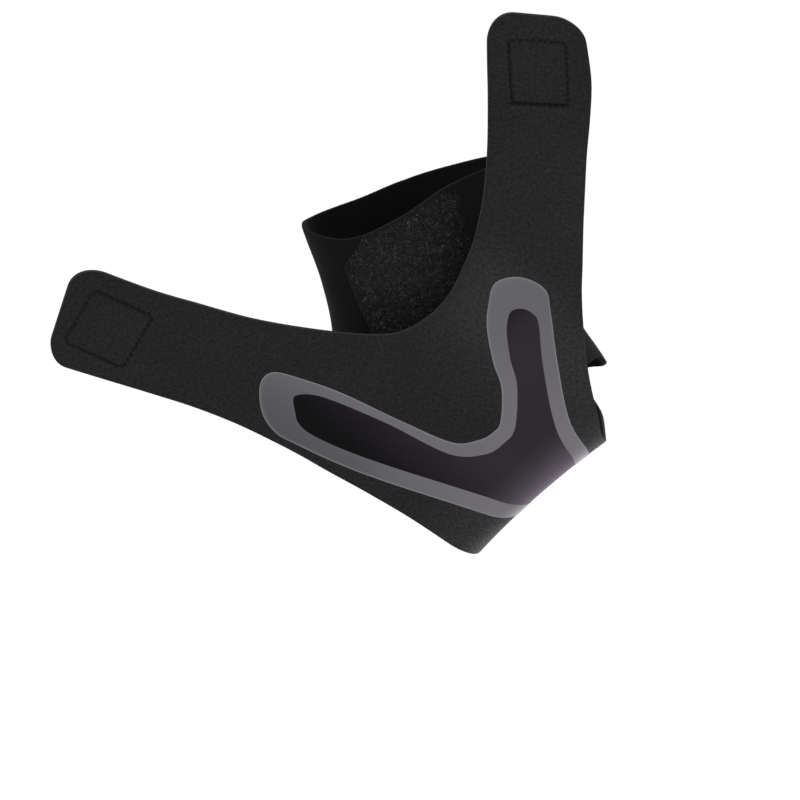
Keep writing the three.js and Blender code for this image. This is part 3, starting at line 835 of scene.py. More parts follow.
def wrap_cloth_material():
    """Neoprene laminate with a fine polyester knit glued on. It gives a matt black with a
    slight grey bloom and a fine diagonal grain. The knit's 0.5 mm loops are drawn up to 1 mm
    apart so that they show. Inside the grey band the knit is filled by a smooth dark
    transfer print, and the cut edges show the foam. Its specks of 1 mm are as coarse as they
    need to be to show, and its tone drifts over some 36 mm."""
    material, tree = new_material("neoprene_fine_knit")
    knit = knit_pattern(tree, 1.0, GRAIN_TURN)
    place = add(tree, "ShaderNodeUVMap", uv_map="flat").outputs["UV"]
    slanted = add(tree, "ShaderNodeMapping", {
        "Vector": place, "Rotation": (0, 0, GRAIN_TURN), "Scale": (1.0, 0.55, 1.0),
    })
    bloom = add(tree, "ShaderNodeTexNoise", {"Vector": place, "Scale": 28.0, "Detail": 2.0})
    speck = add(tree, "ShaderNodeTexNoise", {
        "Vector": slanted.outputs["Vector"], "Scale": 950.0, "Detail": 3.0,
    })
    printed, cut, painted_shading = (
        add(tree, "ShaderNodeAttribute", attribute_name=name).outputs["Fac"]
        for name in ("printed", "cut", "tone")
    )
    grain = add(tree, "ShaderNodeMath", {
        0: knit, 1: 0.18, 2: speck.outputs["Fac"],
    }, operation="MULTIPLY_ADD")
    strands = add(tree, "ShaderNodeValToRGB", {"Fac": grain.outputs["Value"]},
                  stops=((0.3, "#131313"), (0.8, "#252525")))
    drift = add(tree, "ShaderNodeMapRange", {
        "Value": bloom.outputs["Fac"], "From Min": 0.3, "From Max": 0.7,
        "To Min": 0.92, "To Max": 1.08,
    })
    inked = add(tree, "ShaderNodeMix", {
        "Factor": printed, MIX_A: strands.outputs["Color"], MIX_B: linear("#272328"),
    }, data_type="RGBA")
    # The tone attribute holds painted light and shade over the wrap.
    level = add(tree, "ShaderNodeMath", {0: drift.outputs["Result"], 1: painted_shading},
                operation="MULTIPLY")
    toned = add(tree, "ShaderNodeVectorMath", {
        0: inked.outputs[MIX_RESULT], "Scale": level.outputs["Value"],
    }, operation="SCALE")
    edged = add(tree, "ShaderNodeMix", {
        "Factor": cut, MIX_A: toned.outputs["Vector"], MIX_B: linear("#2c2c2d"),
    }, data_type="RGBA")
    rough, depth, gloss = (
        add(tree, "ShaderNodeMapRange", {
            "Value": printed, "To Min": knitted, "To Max": filled,
        }).outputs["Result"]
        for knitted, filled in ((0.88, 0.5), (0.4, 0.0), (0.08, 0.04))
    )
    bump = add(tree, "ShaderNodeBump", {
        "Height": grain.outputs["Value"], "Strength": depth, "Distance": 0.15 * MM,
    })
    shader = add(tree, "ShaderNodeBsdfPrincipled", {
        "Base Color": edged.outputs[MIX_RESULT], "Roughness": rough,
        "Normal": bump.outputs["Normal"], "Specular IOR Level": gloss,
        "Sheen Weight": 0.01, "Sheen Roughness": 0.45,
    })
    close_material(tree, shader)
    return material


def sleeve_cloth_material():
    """Thin neoprene with a smooth jersey face: a deeper, more even black than the wrap. Its
    tone drifts over some 29 mm, and its loops of 0.4 mm are drawn 0.8 mm apart to show."""
    material, tree = new_material("neoprene_smooth_jersey")
    knit = knit_pattern(tree, 0.8)
    place = add(tree, "ShaderNodeUVMap", uv_map="flat").outputs["UV"]
    bloom = add(tree, "ShaderNodeTexNoise", {"Vector": place, "Scale": 35.0, "Detail": 2.0})
    cut = add(tree, "ShaderNodeAttribute", attribute_name="cut").outputs["Fac"]
    tone = add(tree, "ShaderNodeValToRGB", {"Fac": bloom.outputs["Fac"]},
               stops=((0.3, "#0a0a0a"), (0.7, "#121213")))
    # The tone attribute holds painted light on the sleeve behind the loop panel.
    painted_shading = add(tree, "ShaderNodeAttribute", attribute_name="tone").outputs["Fac"]
    toned = add(tree, "ShaderNodeVectorMath", {0: tone.outputs["Color"], "Scale": painted_shading},
                operation="SCALE")
    edged = add(tree, "ShaderNodeMix", {
        "Factor": cut, MIX_A: toned.outputs["Vector"], MIX_B: linear("#0e0e0e"),
    }, data_type="RGBA")
    bump = add(tree, "ShaderNodeBump", {"Height": knit, "Strength": 0.2, "Distance": 0.1 * MM})
    shader = add(tree, "ShaderNodeBsdfPrincipled", {
        "Base Color": edged.outputs[MIX_RESULT], "Roughness": 0.9,
        "Normal": bump.outputs["Normal"], "Specular IOR Level": 0.08,
        "Sheen Weight": 0.01, "Sheen Roughness": 0.5,
    })
    close_material(tree, shader)
    return material


def pile_ground_material():
    """Brushed nylon ground of the loop tape, seen between the loops as a deep black with
    tufts of 1.4 mm."""
    material, tree = new_material("loop_tape_ground")
    place = add(tree, "ShaderNodeTexCoord").outputs["Object"]
    fluff = add(tree, "ShaderNodeTexNoise", {"Vector": place, "Scale": 700.0, "Detail": 3.0})
    tone = add(tree, "ShaderNodeValToRGB", {"Fac": fluff.outputs["Fac"]},
               stops=((0.42, "#0b0b0c"), (0.68, "#201f22")))
    full = add(tree, "ShaderNodeAttribute", attribute_name="tone").outputs["Fac"]
    toned = add(tree, "ShaderNodeVectorMath", {0: tone.outputs["Color"], "Scale": full},
                operation="SCALE")
    bump = add(tree, "ShaderNodeBump", {
        "Height": fluff.outputs["Fac"], "Strength": 0.8, "Distance": 0.5 * MM,
    })
    shader = add(tree, "ShaderNodeBsdfPrincipled", {
        "Base Color": toned.outputs["Vector"], "Roughness": 0.95,
        "Normal": bump.outputs["Normal"], "Specular IOR Level": 0.2,
    })
    close_material(tree, shader)
    return material


def pile_loop_material():
    """Fine nylon filament, unbroken and curled: each loop catches a small bright glint. Its
    flecks of 2.2 mm make a few loops together paler or darker."""
    material, tree = new_material("nylon_pile_filament")
    place = add(tree, "ShaderNodeTexCoord").outputs["Object"]
    fleck = add(tree, "ShaderNodeTexNoise", {"Vector": place, "Scale": 450.0, "Detail": 1.0})
    tone = add(tree, "ShaderNodeValToRGB", {"Fac": fleck.outputs["Fac"]},
               stops=((0.45, "#19181b"), (0.75, "#66656a")))
    shader = add(tree, "ShaderNodeBsdfPrincipled", {
        "Base Color": tone.outputs["Color"], "Roughness": 0.5, "Specular IOR Level": 0.5,
    })
    close_material(tree, shader)
    return material


def stripe_film_material():
    """Heat transfer film of polyurethane: a flat mid grey, satin, a touch lighter at its outer
    rim as a painted highlight, with a faint drift over some 67 mm."""
    material, tree = new_material("polyurethane_transfer_film")
    place = add(tree, "ShaderNodeUVMap", uv_map="flat").outputs["UV"]
    drift = add(tree, "ShaderNodeTexNoise", {"Vector": place, "Scale": 15.0, "Detail": 1.0})
    rim = add(tree, "ShaderNodeAttribute", attribute_name="rim").outputs["Fac"]
    # The tone attribute holds painted light and shade along the film.
    painted_shading = add(tree, "ShaderNodeAttribute", attribute_name="tone").outputs["Fac"]
    shade = add(tree, "ShaderNodeValToRGB", {"Fac": drift.outputs["Fac"]},
                stops=((0.3, "#5d5b5f"), (0.7, "#636165")))
    toned = add(tree, "ShaderNodeVectorMath", {0: shade.outputs["Color"], "Scale": painted_shading},
                operation="SCALE")
    # The rim's lighter colour is a painted highlight along the film's outer rim.
    rimmed = add(tree, "ShaderNodeMix", {
        "Factor": rim, MIX_A: toned.outputs["Vector"], MIX_B: linear("#777579"),
    }, data_type="RGBA")
    shader = add(tree, "ShaderNodeBsdfPrincipled", {
        "Base Color": rimmed.outputs[MIX_RESULT], "Roughness": 0.6, "Specular IOR Level": 0.15,
    })
    close_material(tree, shader)
    return material


def hook_tape_material():
    """Woven nylon tape under the hooks: fine ribs 0.9 mm apart, a dull black."""
    material, tree = new_material("woven_nylon_tape")
    place = add(tree, "ShaderNodeUVMap", uv_map="flat").outputs["UV"]
    ribs = add(tree, "ShaderNodeTexWave", {
        "Vector": place, "Scale": wave_scale(0.9), "Distortion": 0.4,
    }, bands_direction="X")
    tone = add(tree, "ShaderNodeValToRGB", {"Fac": ribs.outputs["Fac"]},
               stops=((0, "#0c0c0d"), (1, "#1c1c1e")))
    bump = add(tree, "ShaderNodeBump", {
        "Height": ribs.outputs["Fac"], "Strength": 0.6, "Distance": 0.2 * MM,
    })
    shader = add(tree, "ShaderNodeBsdfPrincipled", {
        "Base Color": tone.outputs["Color"], "Roughness": 0.7,
        "Normal": bump.outputs["Normal"], "Specular IOR Level": 0.4,
    })
    close_material(tree, shader)
    return material


def hook_filament_material():
    """Stiff extruded nylon monofilament, cut into hooks: black with a hard gloss, in flecks
    of 3.3 mm, a few hooks each."""
    material, tree = new_material("nylon_hook_filament")
    place = add(tree, "ShaderNodeTexCoord").outputs["Object"]
    fleck = add(tree, "ShaderNodeTexNoise", {"Vector": place, "Scale": 300.0})
    tone = add(tree, "ShaderNodeValToRGB", {"Fac": fleck.outputs["Fac"]},
               stops=((0, "#101011"), (1, "#29292c")))
    shader = add(tree, "ShaderNodeBsdfPrincipled", {
        "Base Color": tone.outputs["Color"], "Roughness": 0.35, "Specular IOR Level": 0.5,
    })
    close_material(tree, shader)
    return material


def thread_material():
    """Twisted polyester sewing thread: black and dull, its twist as bands 0.4 mm apart."""
    material, tree = new_material("polyester_thread")
    place = add(tree, "ShaderNodeTexCoord").outputs["Object"]
    twist = add(tree, "ShaderNodeTexWave", {
        "Vector": place, "Scale": wave_scale(0.4), "Distortion": 2.0,
    }, bands_direction="DIAGONAL")
    tone = add(tree, "ShaderNodeValToRGB", {"Fac": twist.outputs["Fac"]},
               stops=((0, "#030304"), (1, "#0c0c0d")))
    shader = add(tree, "ShaderNodeBsdfPrincipled", {
        "Base Color": tone.outputs["Color"], "Roughness": 0.75, "Specular IOR Level": 0.15,
    })
    close_material(tree, shader)
    return material


def floor_material():
    """Matt white paint on the studio floor, without any form of its own."""
    material, tree = new_material("matt_white_paint")
    shader = add(tree, "ShaderNodeBsdfPrincipled", {
        "Base Color": linear("#ffffff"), "Roughness": 1.0, "Specular IOR Level": 0.0,
    })
    close_material(tree, shader)
    return material


# Geometry node trees for what repeats

def new_tree(name, inputs):
    """A geometry tree with named inputs, and the sockets that give them."""
    tree = bpy.data.node_groups.new(name, "GeometryNodeTree")
    tree.interface.new_socket("Geometry", in_out="INPUT", socket_type="NodeSocketGeometry")
    tree.interface.new_socket("Geometry", in_out="OUTPUT", socket_type="NodeSocketGeometry")
    for label, kind in inputs:
        tree.interface.new_socket(label, in_out="INPUT", socket_type="NodeSocket" + kind)
    return tree, add(tree, "NodeGroupInput").outputs


def close_tree(tree, geometry, given):
    """Ends a tree in plain mesh in the given material."""
    real = add(tree, "GeometryNodeRealizeInstances", {"Geometry": geometry})
    finish = add(tree, "GeometryNodeSetMaterial", {
        "Geometry": real.outputs["Geometry"], "Material": given["Material"],
    })
    add(tree, "NodeGroupOutput", {"Geometry": finish.outputs["Geometry"]})


def stitch_tree():
    """Stitches laid end to end along the edges of a mesh, each a short flattened bead.
    The mesh carries the face's direction in the attribute up."""
    tree, given = new_tree("stitch_row", [
        ("Pitch", "Float"), ("Length", "Float"), ("Thread", "Float"), ("Material", "Material"),
    ])
    curve = add(tree, "GeometryNodeMeshToCurve", {"Mesh": given["Geometry"]})
    spaced = add(tree, "GeometryNodeResampleCurve", {
        "Curve": curve.outputs["Curve"], "Length": given["Pitch"],
    }, mode="LENGTH")
    tangent = add(tree, "GeometryNodeInputTangent")
    up = add(tree, "GeometryNodeInputNamedAttribute", {"Name": "up"}, data_type="FLOAT_VECTOR")
    lie = add(tree, "FunctionNodeAlignRotationToVector", {
        "Vector": tangent.outputs["Tangent"],
    }, axis="X")
    stand = add(tree, "FunctionNodeAlignRotationToVector", {
        "Rotation": lie.outputs["Rotation"], "Vector": up.outputs["Attribute"],
    }, axis="Z", pivot_axis="X")
    bead = add(tree, "GeometryNodeMeshUVSphere", {"Segments": 8, "Rings": 6, "Radius": 0.5})
    size = add(tree, "ShaderNodeCombineXYZ", {
        "X": given["Length"], "Y": given["Thread"], "Z": given["Thread"],
    })
    placed = add(tree, "GeometryNodeInstanceOnPoints", {
        "Points": spaced.outputs["Curve"], "Instance": bead.outputs["Mesh"],
        "Rotation": stand.outputs["Rotation"], "Scale": size.outputs["Vector"],
    })
    close_tree(tree, placed.outputs["Instances"], given)
    return tree


def pile_tree():
    """Small open loops of filament scattered over a face, each leaning its own way."""
    tree, given = new_tree("pile_field", [
        ("Density", "Float"), ("Spacing", "Float"), ("Radius", "Float"), ("Filament", "Float"),
        ("Sweep", "Float"), ("Lean", "Float"), ("Seed", "Int"), ("Material", "Material"),
    ])
    fullness = add(tree, "GeometryNodeInputNamedAttribute", {"Name": "fullness"},
                   data_type="FLOAT")
    spread = add(tree, "GeometryNodeDistributePointsOnFaces", {
        "Mesh": given["Geometry"], "Distance Min": given["Spacing"],
        "Density Max": given["Density"], "Density Factor": fullness.outputs["Attribute"],
        "Seed": given["Seed"],
    }, distribute_method="POISSON")
    arc = add(tree, "GeometryNodeCurveArc", {
        "Resolution": 6, "Radius": given["Radius"], "Sweep Angle": given["Sweep"],
    })
    ring = add(tree, "GeometryNodeCurvePrimitiveCircle", {
        "Resolution": 3, "Radius": given["Filament"],
    })
    loop = add(tree, "GeometryNodeCurveToMesh", {
        "Curve": arc.outputs["Curve"], "Profile Curve": ring.outputs["Curve"],
    })
    upright = add(tree, "GeometryNodeTransform", {
        "Geometry": loop.outputs["Mesh"], "Rotation": (math.pi / 2, 0, 0),
    })
    turn = add(tree, "FunctionNodeRandomValue", {
        "Min": (0.0, 0.0, 0.0), "Max": (0.0, 0.0, 2 * math.pi), "Seed": given["Seed"],
    }, data_type="FLOAT_VECTOR")
    back = add(tree, "ShaderNodeMath", {0: given["Lean"], 1: -1.0},
               operation="MULTIPLY").outputs["Value"]
    low = add(tree, "ShaderNodeCombineXYZ", {"X": back, "Y": back})
    high = add(tree, "ShaderNodeCombineXYZ", {"X": given["Lean"], "Y": given["Lean"]})
    tilt = add(tree, "FunctionNodeRandomValue", {
        "Min": low.outputs["Vector"], "Max": high.outputs["Vector"], "Seed": 31,
    }, data_type="FLOAT_VECTOR")
    turned = add(tree, "FunctionNodeRotateRotation", {
        "Rotation": spread.outputs["Rotation"], "Rotate By": turn.outputs["Value"],
    }, rotation_space="LOCAL")
    tilted = add(tree, "FunctionNodeRotateRotation", {
        "Rotation": turned.outputs["Rotation"], "Rotate By": tilt.outputs["Value"],
    }, rotation_space="LOCAL")
    size = add(tree, "FunctionNodeRandomValue", {
        "Min": (0.6, 0.6, 0.6), "Max": (1.35, 1.35, 1.35), "Seed": 5,
    }, data_type="FLOAT_VECTOR")
    placed = add(tree, "GeometryNodeInstanceOnPoints", {
        "Points": spread.outputs["Points"], "Instance": upright.outputs["Geometry"],
        "Rotation": tilted.outputs["Rotation"], "Scale": size.outputs["Value"],
    })
    close_tree(tree, placed.outputs["Instances"], given)
    return tree


def grown(obj, tree, **values):
    """Runs a tree on an object and leaves the result as its plain mesh."""
    modifier = obj.modifiers.new(tree.name, "NODES")
    modifier.node_group = tree
    for item in tree.interface.items_tree:
        if item.in_out == "INPUT" and item.name in values:
            modifier[item.identifier] = values[item.name]
    depsgraph = bpy.context.evaluated_depsgraph_get()
    mesh = bpy.data.meshes.new_from_object(obj.evaluated_get(depsgraph), depsgraph=depsgraph)
    obj.modifiers.clear()
    obj.data = mesh
    mesh.shade_smooth()
    return obj


# Pieces

def wrap_cloth(material):
    """The whole wrap: outer and inner face with rounded cut edges."""
    flat, quads, outline = wrap_pattern()
    flat, quads = compact(flat, quads)
    gap = to_outline(flat, outline, 3.0)
    base = wrap_point(flat)
    normal = wrap_normal(flat)
    half = rounded(gap, WRAP_THICKNESS / 2)
    calm = smoothstep(gap, 0.2, 2.5)
    outer = base + normal * (half + outer_relief(flat) * calm)[:, None]
    inner = base - normal * half[:, None]
    stripe_middle = stripe_sections()[:, :4].reshape(-1, 2, 2).mean(1)
    print_outline = through_rows(stripe_middle, np.linspace(0, len(stripe_middle) - 1, 400))
    printed = inside(flat, print_outline).astype(float)
    # Painted light and shade over the wrap, from print_tone and cloth_tone.
    tone = np.where(printed > 0, print_tone(flat), cloth_tone(flat))
    cut = (gap < CUT_REACH).astype(float)
    faces = both_faces(quads, len(flat))
    if turned_inward(quads, outer, normal):
        faces = faces[:, ::-1]
    uv = np.concatenate([flat, flat])[faces].reshape(-1, 2)
    return mesh_object(
        "wrap_cloth", np.concatenate([outer, inner]), faces, material, uv,
        printed=np.concatenate([printed, 0 * printed]), cut=np.concatenate([cut, cut]),
        tone=np.concatenate([tone, 1 + 0 * tone]),
    ), outline


def sleeve_cloth(material):
    """The sleeve: outer and inner face with rounded upper and lower edges."""
    angle = 270 + np.linspace(0, 360, SLEEVE_COLUMNS + 1)
    top, bottom = sleeve_edges(angle)
    up = edge_spaced(top - bottom, SLEEVE_ROWS)
    height = bottom[:, None] + up
    gap = np.minimum(up, (top - bottom)[:, None] - up)
    point = sleeve_point(angle[:, None] + 0 * up, height)
    around = np.append(0, np.cumsum(steps_round_sleeve(angle)))
    flat = np.stack([around[:, None] + 0 * up, height], -1)
    normal = sleeve_normal(point)
    half = rounded(gap, SLEEVE_WALL / 2)[..., None]
    middle = point - normal * SLEEVE_WALL / 2
    columns = up.shape[1]
    quads = grid_quads(SLEEVE_COLUMNS, columns, closed=True)
    open_quads = grid_quads(SLEEVE_COLUMNS + 1, columns)
    outer = (middle + normal * half)[:-1].reshape(-1, 3)
    inner = (middle - normal * half)[:-1].reshape(-1, 3)
    count = len(outer)
    corner = flat.reshape(-1, 2)[open_quads]
    if turned_inward(quads, outer, normal[:-1].reshape(-1, 3)):
        quads = quads[:, ::-1]
        corner = corner[:, ::-1]
    faces = both_faces(quads, count)
    walls = flat[:-1].reshape(-1, 2)[faces[2 * len(quads):] % count]
    uv = np.concatenate([corner, corner[:, ::-1], walls]).reshape(-1, 2)
    cut = (gap[:-1].ravel() < CUT_REACH).astype(float)
    # Painted light on the sleeve's outer rear, behind the loop panel, where the strap shades it.
    turn = angle[:-1] % 360
    painted_shading = smoothstep(turn, 95, 115) * (1 - smoothstep(turn, 165, 195))
    tone = (1 + SLEEVE_LIGHT * painted_shading[:, None] + 0 * up[:-1]).ravel()
    return mesh_object(
        "sleeve_cloth", np.concatenate([outer, inner]), faces, material, uv,
        cut=np.concatenate([cut, cut]), tone=np.concatenate([tone, 1 + 0 * tone]),
    )


def loop_panel_grid():
    """Points of the loop panel on the sleeve, from its lower to its upper edge."""
    rise = np.linspace(0, 1, PILE_ROWS + 1)[:, None]
    _, front, back = np.moveaxis(rows_at(LOOP_PANEL_EDGES, rise[:, 0]), -1, 0)
    angle = front[:, None] + (back - front)[:, None] * np.linspace(0, 1, PILE_COLUMNS + 1)
    bottom = LOOP_PANEL_BOTTOM * SLEEVE_HEIGHT
    return sleeve_point(angle, bottom + (sleeve_edges(angle)[0] - bottom) * rise)


def thick_grid(name, point, normal, low, high, material, flat, closed=False, **columns):
    """Closed sheet from a grid of points, from low to high along the normals. low and high
    may change over the grid, and closed joins its last row to the first."""
    rows, width = point.shape[:2]
    quads = grid_quads(rows, width, closed)
    top = (point + normal * np.asarray(high)[..., None]).reshape(-1, 3)
    under = (point + normal * np.asarray(low)[..., None]).reshape(-1, 3)
    if turned_inward(quads, top, normal.reshape(-1, 3)):
        quads = quads[:, ::-1]
    faces = both_faces(quads, len(top))
    flat = flat.reshape(-1, 2)
    uv = np.concatenate([flat, flat])[faces].reshape(-1, 2)
    doubled = {label: np.tile(values.ravel(), 2) for label, values in columns.items()}
    return mesh_object(name, np.concatenate([top, under]), faces, material, uv, **doubled)


def grid_edge_gap(rows, columns, row_step, column_step):
    """Distance of each grid point to the nearest edge of the grid."""
    i = np.minimum(np.arange(rows), np.arange(rows)[::-1])[:, None] * row_step
    j = np.minimum(np.arange(columns), np.arange(columns)[::-1])[None] * column_step
    return np.minimum(i + 0 * j, j + 0 * i)


def filament_field(name, point, normal, fullness, rim, material, **values):
    """Small loops or hooks grown over a grid of points, save for a rim of some rows."""
    inner = slice(rim, -rim)
    points = point[inner, inner].reshape(-1, 3)
    quads = grid_quads(*point[inner, inner].shape[:2])
    if turned_inward(quads, points, normal[inner, inner].reshape(-1, 3)):
        quads = quads[:, ::-1]
    field = mesh_object(name, points, quads, material, fullness=fullness[inner, inner].ravel())
    return grown(field, pile_field, Material=material, **values)


def loop_pile(ground_material, loop_material):
    """Ground of the loop panel, soft at its edges, and its field of small loops."""
    point = loop_panel_grid()
    normal = sleeve_normal(point)
    gap = grid_edge_gap(PILE_ROWS + 1, PILE_COLUMNS + 1, *PILE_STEPS)
    high = PILE_EDGE + PILE_RISE * np.sqrt(smoothstep(gap, -0.5, 2.5))
    ripple = np.sin(point[..., 0] / 2.1) * np.sin(point[..., 2] / 1.7 + point[..., 0] / 5)
    high = high + 0.08 * ripple * smoothstep(gap, 0.5, 2)
    ground = thick_grid("loop_pile_ground", point, normal, PILE_SEAT + 0 * high, high,
                        ground_material, point[..., [0, 2]],
                        tone=0.55 + 0.45 * smoothstep(gap, 0, 6))
    field = point + normal * (high - 0.1)[..., None]
    clumps = np.sin(field[..., 0] / 2.3 + field[..., 2] / 4.1) * np.sin(field[..., 2] / 3.1)
    fullness = smoothstep(gap, 0.5, 6) * (0.8 + 0.2 * clumps)
    loops = filament_field(
        "loop_pile_curls", field, normal, fullness, 2, loop_material,
        Density=2.4e6, Spacing=0.68 * MM, Radius=0.5 * MM, Filament=0.1 * MM,
        Sweep=math.radians(200), Lean=0.7, Seed=4,
    )
    return ground, loops


def stripe_sections():
    """Both edges of the stripe in the flat pattern, closed by repeating the first row."""
    lean = np.radians(STRIPE_SECTIONS[:, 3])
    out = np.stack([np.cos(lean), np.sin(lean)], -1) * STRIPE_SECTIONS[:, 2:3] * STRIPE_WIDTH / 2
    middle = STRIPE_SECTIONS[:, :2] * PANEL_SCALE
    sections = np.hstack([middle - out, middle + out])
    return np.vstack([sections, sections[:1]])


def closed_curve(sections, spacing):
    """Points through closed rows, so that the ends join smoothly."""
    looped = np.vstack([sections[-2], sections, sections[1]])
    places = []
    for start in range(1, len(looped) - 2):
        length = np.linalg.norm(looped[start + 1, :2] - looped[start, :2])
        length = max(length, np.linalg.norm(looped[start + 1, 2:] - looped[start, 2:]))
        places.append(start + np.arange(0, 1, spacing / length))
    return through_rows(looped, np.concatenate(places))


def stripe_film(material):
    """The grey band as a thin film that follows the cloth, rounded down at both rims."""
    rows = closed_curve(stripe_sections(), FILM_ROW_SPACING)
    width = np.linalg.norm(rows[:, 2:] - rows[:, :2], axis=1)
    share = edge_spaced(width, FILM_COLUMNS) / width[:, None]
    flat = rows[:, None, :2] + (rows[:, None, 2:] - rows[:, None, :2]) * share[..., None]
    # rim raises a bead along the outer edge and marks a painted highlight there.
    rim = bell((1 - share) * width[:, None], FILM_RIM_WIDTH)
    gap = np.minimum(share, 1 - share) * width[:, None]
    seat = WRAP_THICKNESS / 2 + outer_relief(flat)
    middle = FILM_RISE_HEIGHT * np.sqrt(smoothstep(gap, -0.1, 0.7))
    high = seat + FILM_EDGE + middle + FILM_RIM_HEIGHT * rim
    return thick_grid("stripe_film", wrap_point(flat), wrap_normal(flat), seat + FILM_SEAT,
                      high, material, flat, closed=True, rim=rim, tone=film_tone(flat))


def hook_tape(name, patch, tape_material, filament_material):
    """Hook tape on the inner face of a strap, and its rows of hooks."""
    length, side = np.meshgrid(
        np.linspace(-0.5, 0.5, TAPE_ROWS + 1) * HOOK_PATCH_LENGTH,
        np.linspace(-0.5, 0.5, TAPE_COLUMNS + 1) * patch["width"], indexing="ij",
    )
    flat = patch_flat(patch, length, side)
    point = wrap_point(flat)
    normal = -wrap_normal(flat)
    gap = grid_edge_gap(TAPE_ROWS + 1, TAPE_COLUMNS + 1, *TAPE_STEPS)
    seat = WRAP_THICKNESS / 2 + TAPE_SEAT
    high = seat + TAPE_EDGE + TAPE_RISE * np.sqrt(smoothstep(gap, -0.3, 0.9))
    high = high - TAPE_GROOVE * bell(to_patch_seam(flat, patch), 0.5)
    tape = thick_grid(name + "_tape", point, normal, seat + 0 * high, high, tape_material,
                      np.stack([length, side], -1))
    hooks = filament_field(
        name + "_hooks", point + normal * (high - 0.05)[..., None], normal, 1 + 0 * high, 4,
        filament_material, Density=1.2e6, Spacing=1.05 * MM, Radius=0.55 * MM,
        Filament=0.12 * MM, Sweep=math.radians(235), Lean=0.25, Seed=9,
    )
    return tape, hooks


def edge_mesh(name, lines, material):
    """Loose edges along lines of (points, directions), for a stitch row."""
    points = np.concatenate([line[0] for line in lines])
    ups = np.concatenate([line[1] for line in lines])
    edges = []
    start = 0
    for line in lines:
        count = len(line[0])
        edges += [(start + k, start + k + 1) for k in range(count - 1)]
        start += count
    mesh = bpy.data.meshes.new(name)
    mesh.from_pydata((points * MM).tolist(), edges, [])
    column = mesh.attributes.new("up", "FLOAT_VECTOR", "POINT")
    column.data.foreach_set("vector", ups.astype(np.float32).ravel())
    return shown(name, mesh, material)


def straight(start, end, spacing=0.5):
    """Points from start to end, about a spacing apart."""
    count = max(2, int(np.linalg.norm(np.subtract(end, start)) / spacing))
    return np.linspace(start, end, count)


def seam_walk(width):
    """Places round a patch's seam: one closed loop with rounded corners."""
    half_length = HOOK_PATCH_LENGTH / 2 - STITCH_INSET - SEAM_CORNER
    half_side = width / 2 - STITCH_INSET - SEAM_CORNER
    turns = np.radians(np.arange(0, 91, 10))
    walk = []
    for quarter, (up, out) in enumerate(((1, 1), (-1, 1), (-1, -1), (1, -1))):
        angle = turns + quarter * math.pi / 2
        walk.append(np.stack([up * half_length + SEAM_CORNER * np.cos(angle),
                              out * half_side + SEAM_CORNER * np.sin(angle)], -1))
    walk = np.concatenate(walk)
    walk = np.vstack([walk, walk[:1]])
    return np.concatenate([straight(*ends) for ends in zip(walk[:-1], walk[1:])])


def patch_seam_line(patch, face):
    """A patch's seam on the outer face, sunk in its groove, or on the inner face."""
    walk = seam_walk(patch["width"])
    flat = patch_flat(patch, walk[:, 0], walk[:, 1])
    normal = wrap_normal(flat)
    if face == "outer":
        return outer_face(flat, THREAD_LIFT), normal
    return wrap_point(flat) - normal * (WRAP_THICKNESS / 2 + TAPE_THREAD_LIFT), -normal


def inner_tab_lines():
    """The seam that holds the wrap's inner end on the sleeve: along the end and down
    both sides of the part that lies on the sleeve."""
    front = panel_edge(0)[0, 0] + TAB_SEAM_INSET
    back = panel_edge(2)[0, 0] - TAB_SEAM_INSET
    end = -INNER_TAB_HEIGHT + TAB_SEAM_INSET
    low = -INNER_TAB_HEIGHT + TAB_SEAM_HEIGHT
    corners = ((front, low), (front, end), (back, end), (back, low))
    lines = []
    for start, stop in zip(corners[:-1], corners[1:]):
        flat = straight(start, stop)
        normal = wrap_normal(flat)
        place = wrap_point(flat) + normal * (WRAP_THICKNESS / 2 + TAB_THREAD_LIFT)
        lines.append((place, normal))
    return lines


def sewing(material):
    """All sewing thread in sight, as one piece."""
    lines = inner_tab_lines()
    for patch in (front_patch, rear_patch):
        lines += [patch_seam_line(patch, "outer"), patch_seam_line(patch, "inner")]
    stitches = edge_mesh("sewing_thread", lines, material)
    return grown(stitches, stitch_tree(), Pitch=STITCH_PITCH * MM,
                 Length=STITCH_LENGTH * MM, Thread=THREAD * MM, Material=material)


# Stage, light and camera

def studio_floor():
    """A wide white floor, far enough down that it never touches the brace."""
    size, depth = 12000, -520
    sides = ((-size, -size), (size, -size), (size, size), (-size, size))
    corners = [(x, y, depth) for x, y in sides]
    floor = mesh_object("floor", corners, [(0, 1, 2, 3)], floor_material())


def aimed(obj, place, aim):
    """Puts an object at a place and turns it to look at another."""
    obj.location = place
    obj.rotation_mode = "QUATERNION"
    obj.rotation_quaternion = (Vector(aim) - Vector(place)).to_track_quat("-Z", "Y")


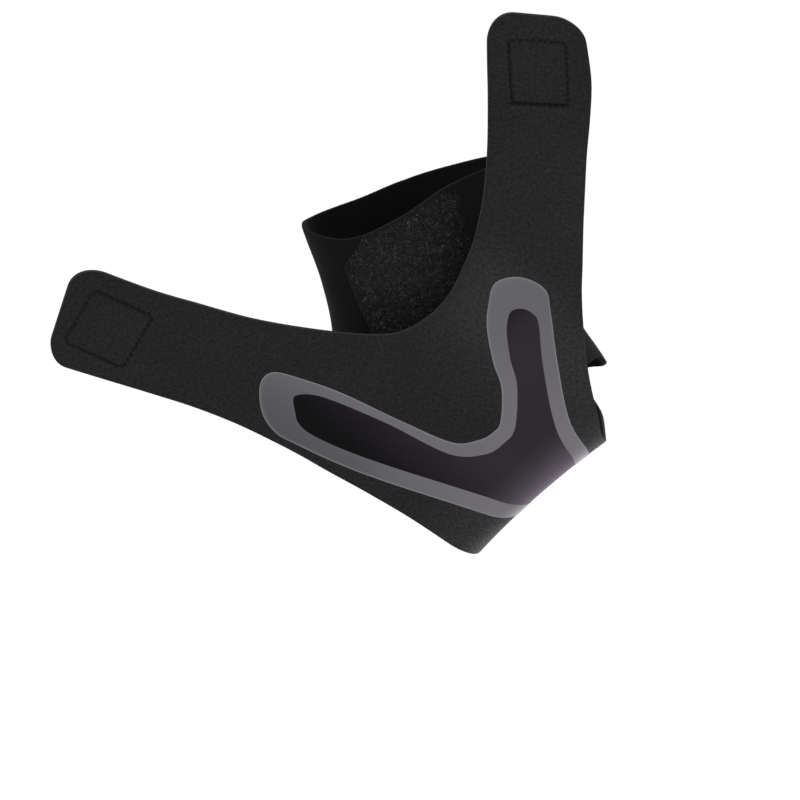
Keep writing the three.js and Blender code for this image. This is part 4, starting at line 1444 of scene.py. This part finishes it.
def soft_light(name, place, aim, size, power):
    """A round lamp with its size in metres and its power in watts."""
    light = bpy.data.lights.new(name, "AREA")
    light.shape = "DISK"
    light.size = size
    light.energy = power
    aimed(in_scene(name, light), place, aim)


def studio_light():
    """White from all round, and two soft lamps in front."""
    world = bpy.data.worlds.new("studio")
    world.use_nodes = True
    background = world.node_tree.nodes["Background"]
    background.inputs["Color"].default_value = (1, 1, 1, 1)
    background.inputs["Strength"].default_value = 1.0
    bpy.context.scene.world = world
    bpy.context.scene.view_settings.view_transform = "Standard"
    soft_light("key", (0.9, -1.3, 1.5), (0, 0, 0), 1.2, 6)
    soft_light("low_fill", (0.9, -0.9, -0.3), (0, 0, -0.05), 0.8, 2)


def photo_camera():
    """The camera of the photo: in front of the outer side and a little above."""
    data = bpy.data.cameras.new("camera")
    data.sensor_width = 36
    data.lens = 126.4
    data.clip_start = 0.01
    camera = in_scene("camera", data)
    aimed(camera, (-0.0139, -1.2406, 0.3924), (-0.0139, -0.019, -0.0522))
    bpy.context.scene.camera = camera


photo_camera()
studio_light()
studio_floor()

pile_field = pile_tree()
wrap, wrap_outline = wrap_cloth(wrap_cloth_material())
sleeve = sleeve_cloth(sleeve_cloth_material())
pile_ground, pile_loops = loop_pile(pile_ground_material(), pile_loop_material())
film = stripe_film(stripe_film_material())
tape_finish = hook_tape_material()
hook_finish = hook_filament_material()
front_tape, front_hooks = hook_tape("front_hook", front_patch, tape_finish, hook_finish)
rear_tape, rear_hooks = hook_tape("rear_hook", rear_patch, tape_finish, hook_finish)
stitches = sewing(thread_material())

for piece, node, slot in (
    (wrap, "foot_wrap", "wrap_fabric"),
    (sleeve, "ankle_sleeve", "sleeve_fabric"),
    (pile_ground, "loop_panel", "loop_pile"),
    (film, "contour_stripe", "stripe_film"),
    (front_tape, "front_hook_patch", "hook_tape"),
    (rear_tape, "rear_hook_patch", "hook_tape"),
    (pile_loops, None, "loop_pile"),
    (front_hooks, None, "hook_tape"),
    (rear_hooks, None, "hook_tape"),
    (stitches, None, "wrap_fabric"),
):
    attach(piece, "root")
    if node:
        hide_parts(node)
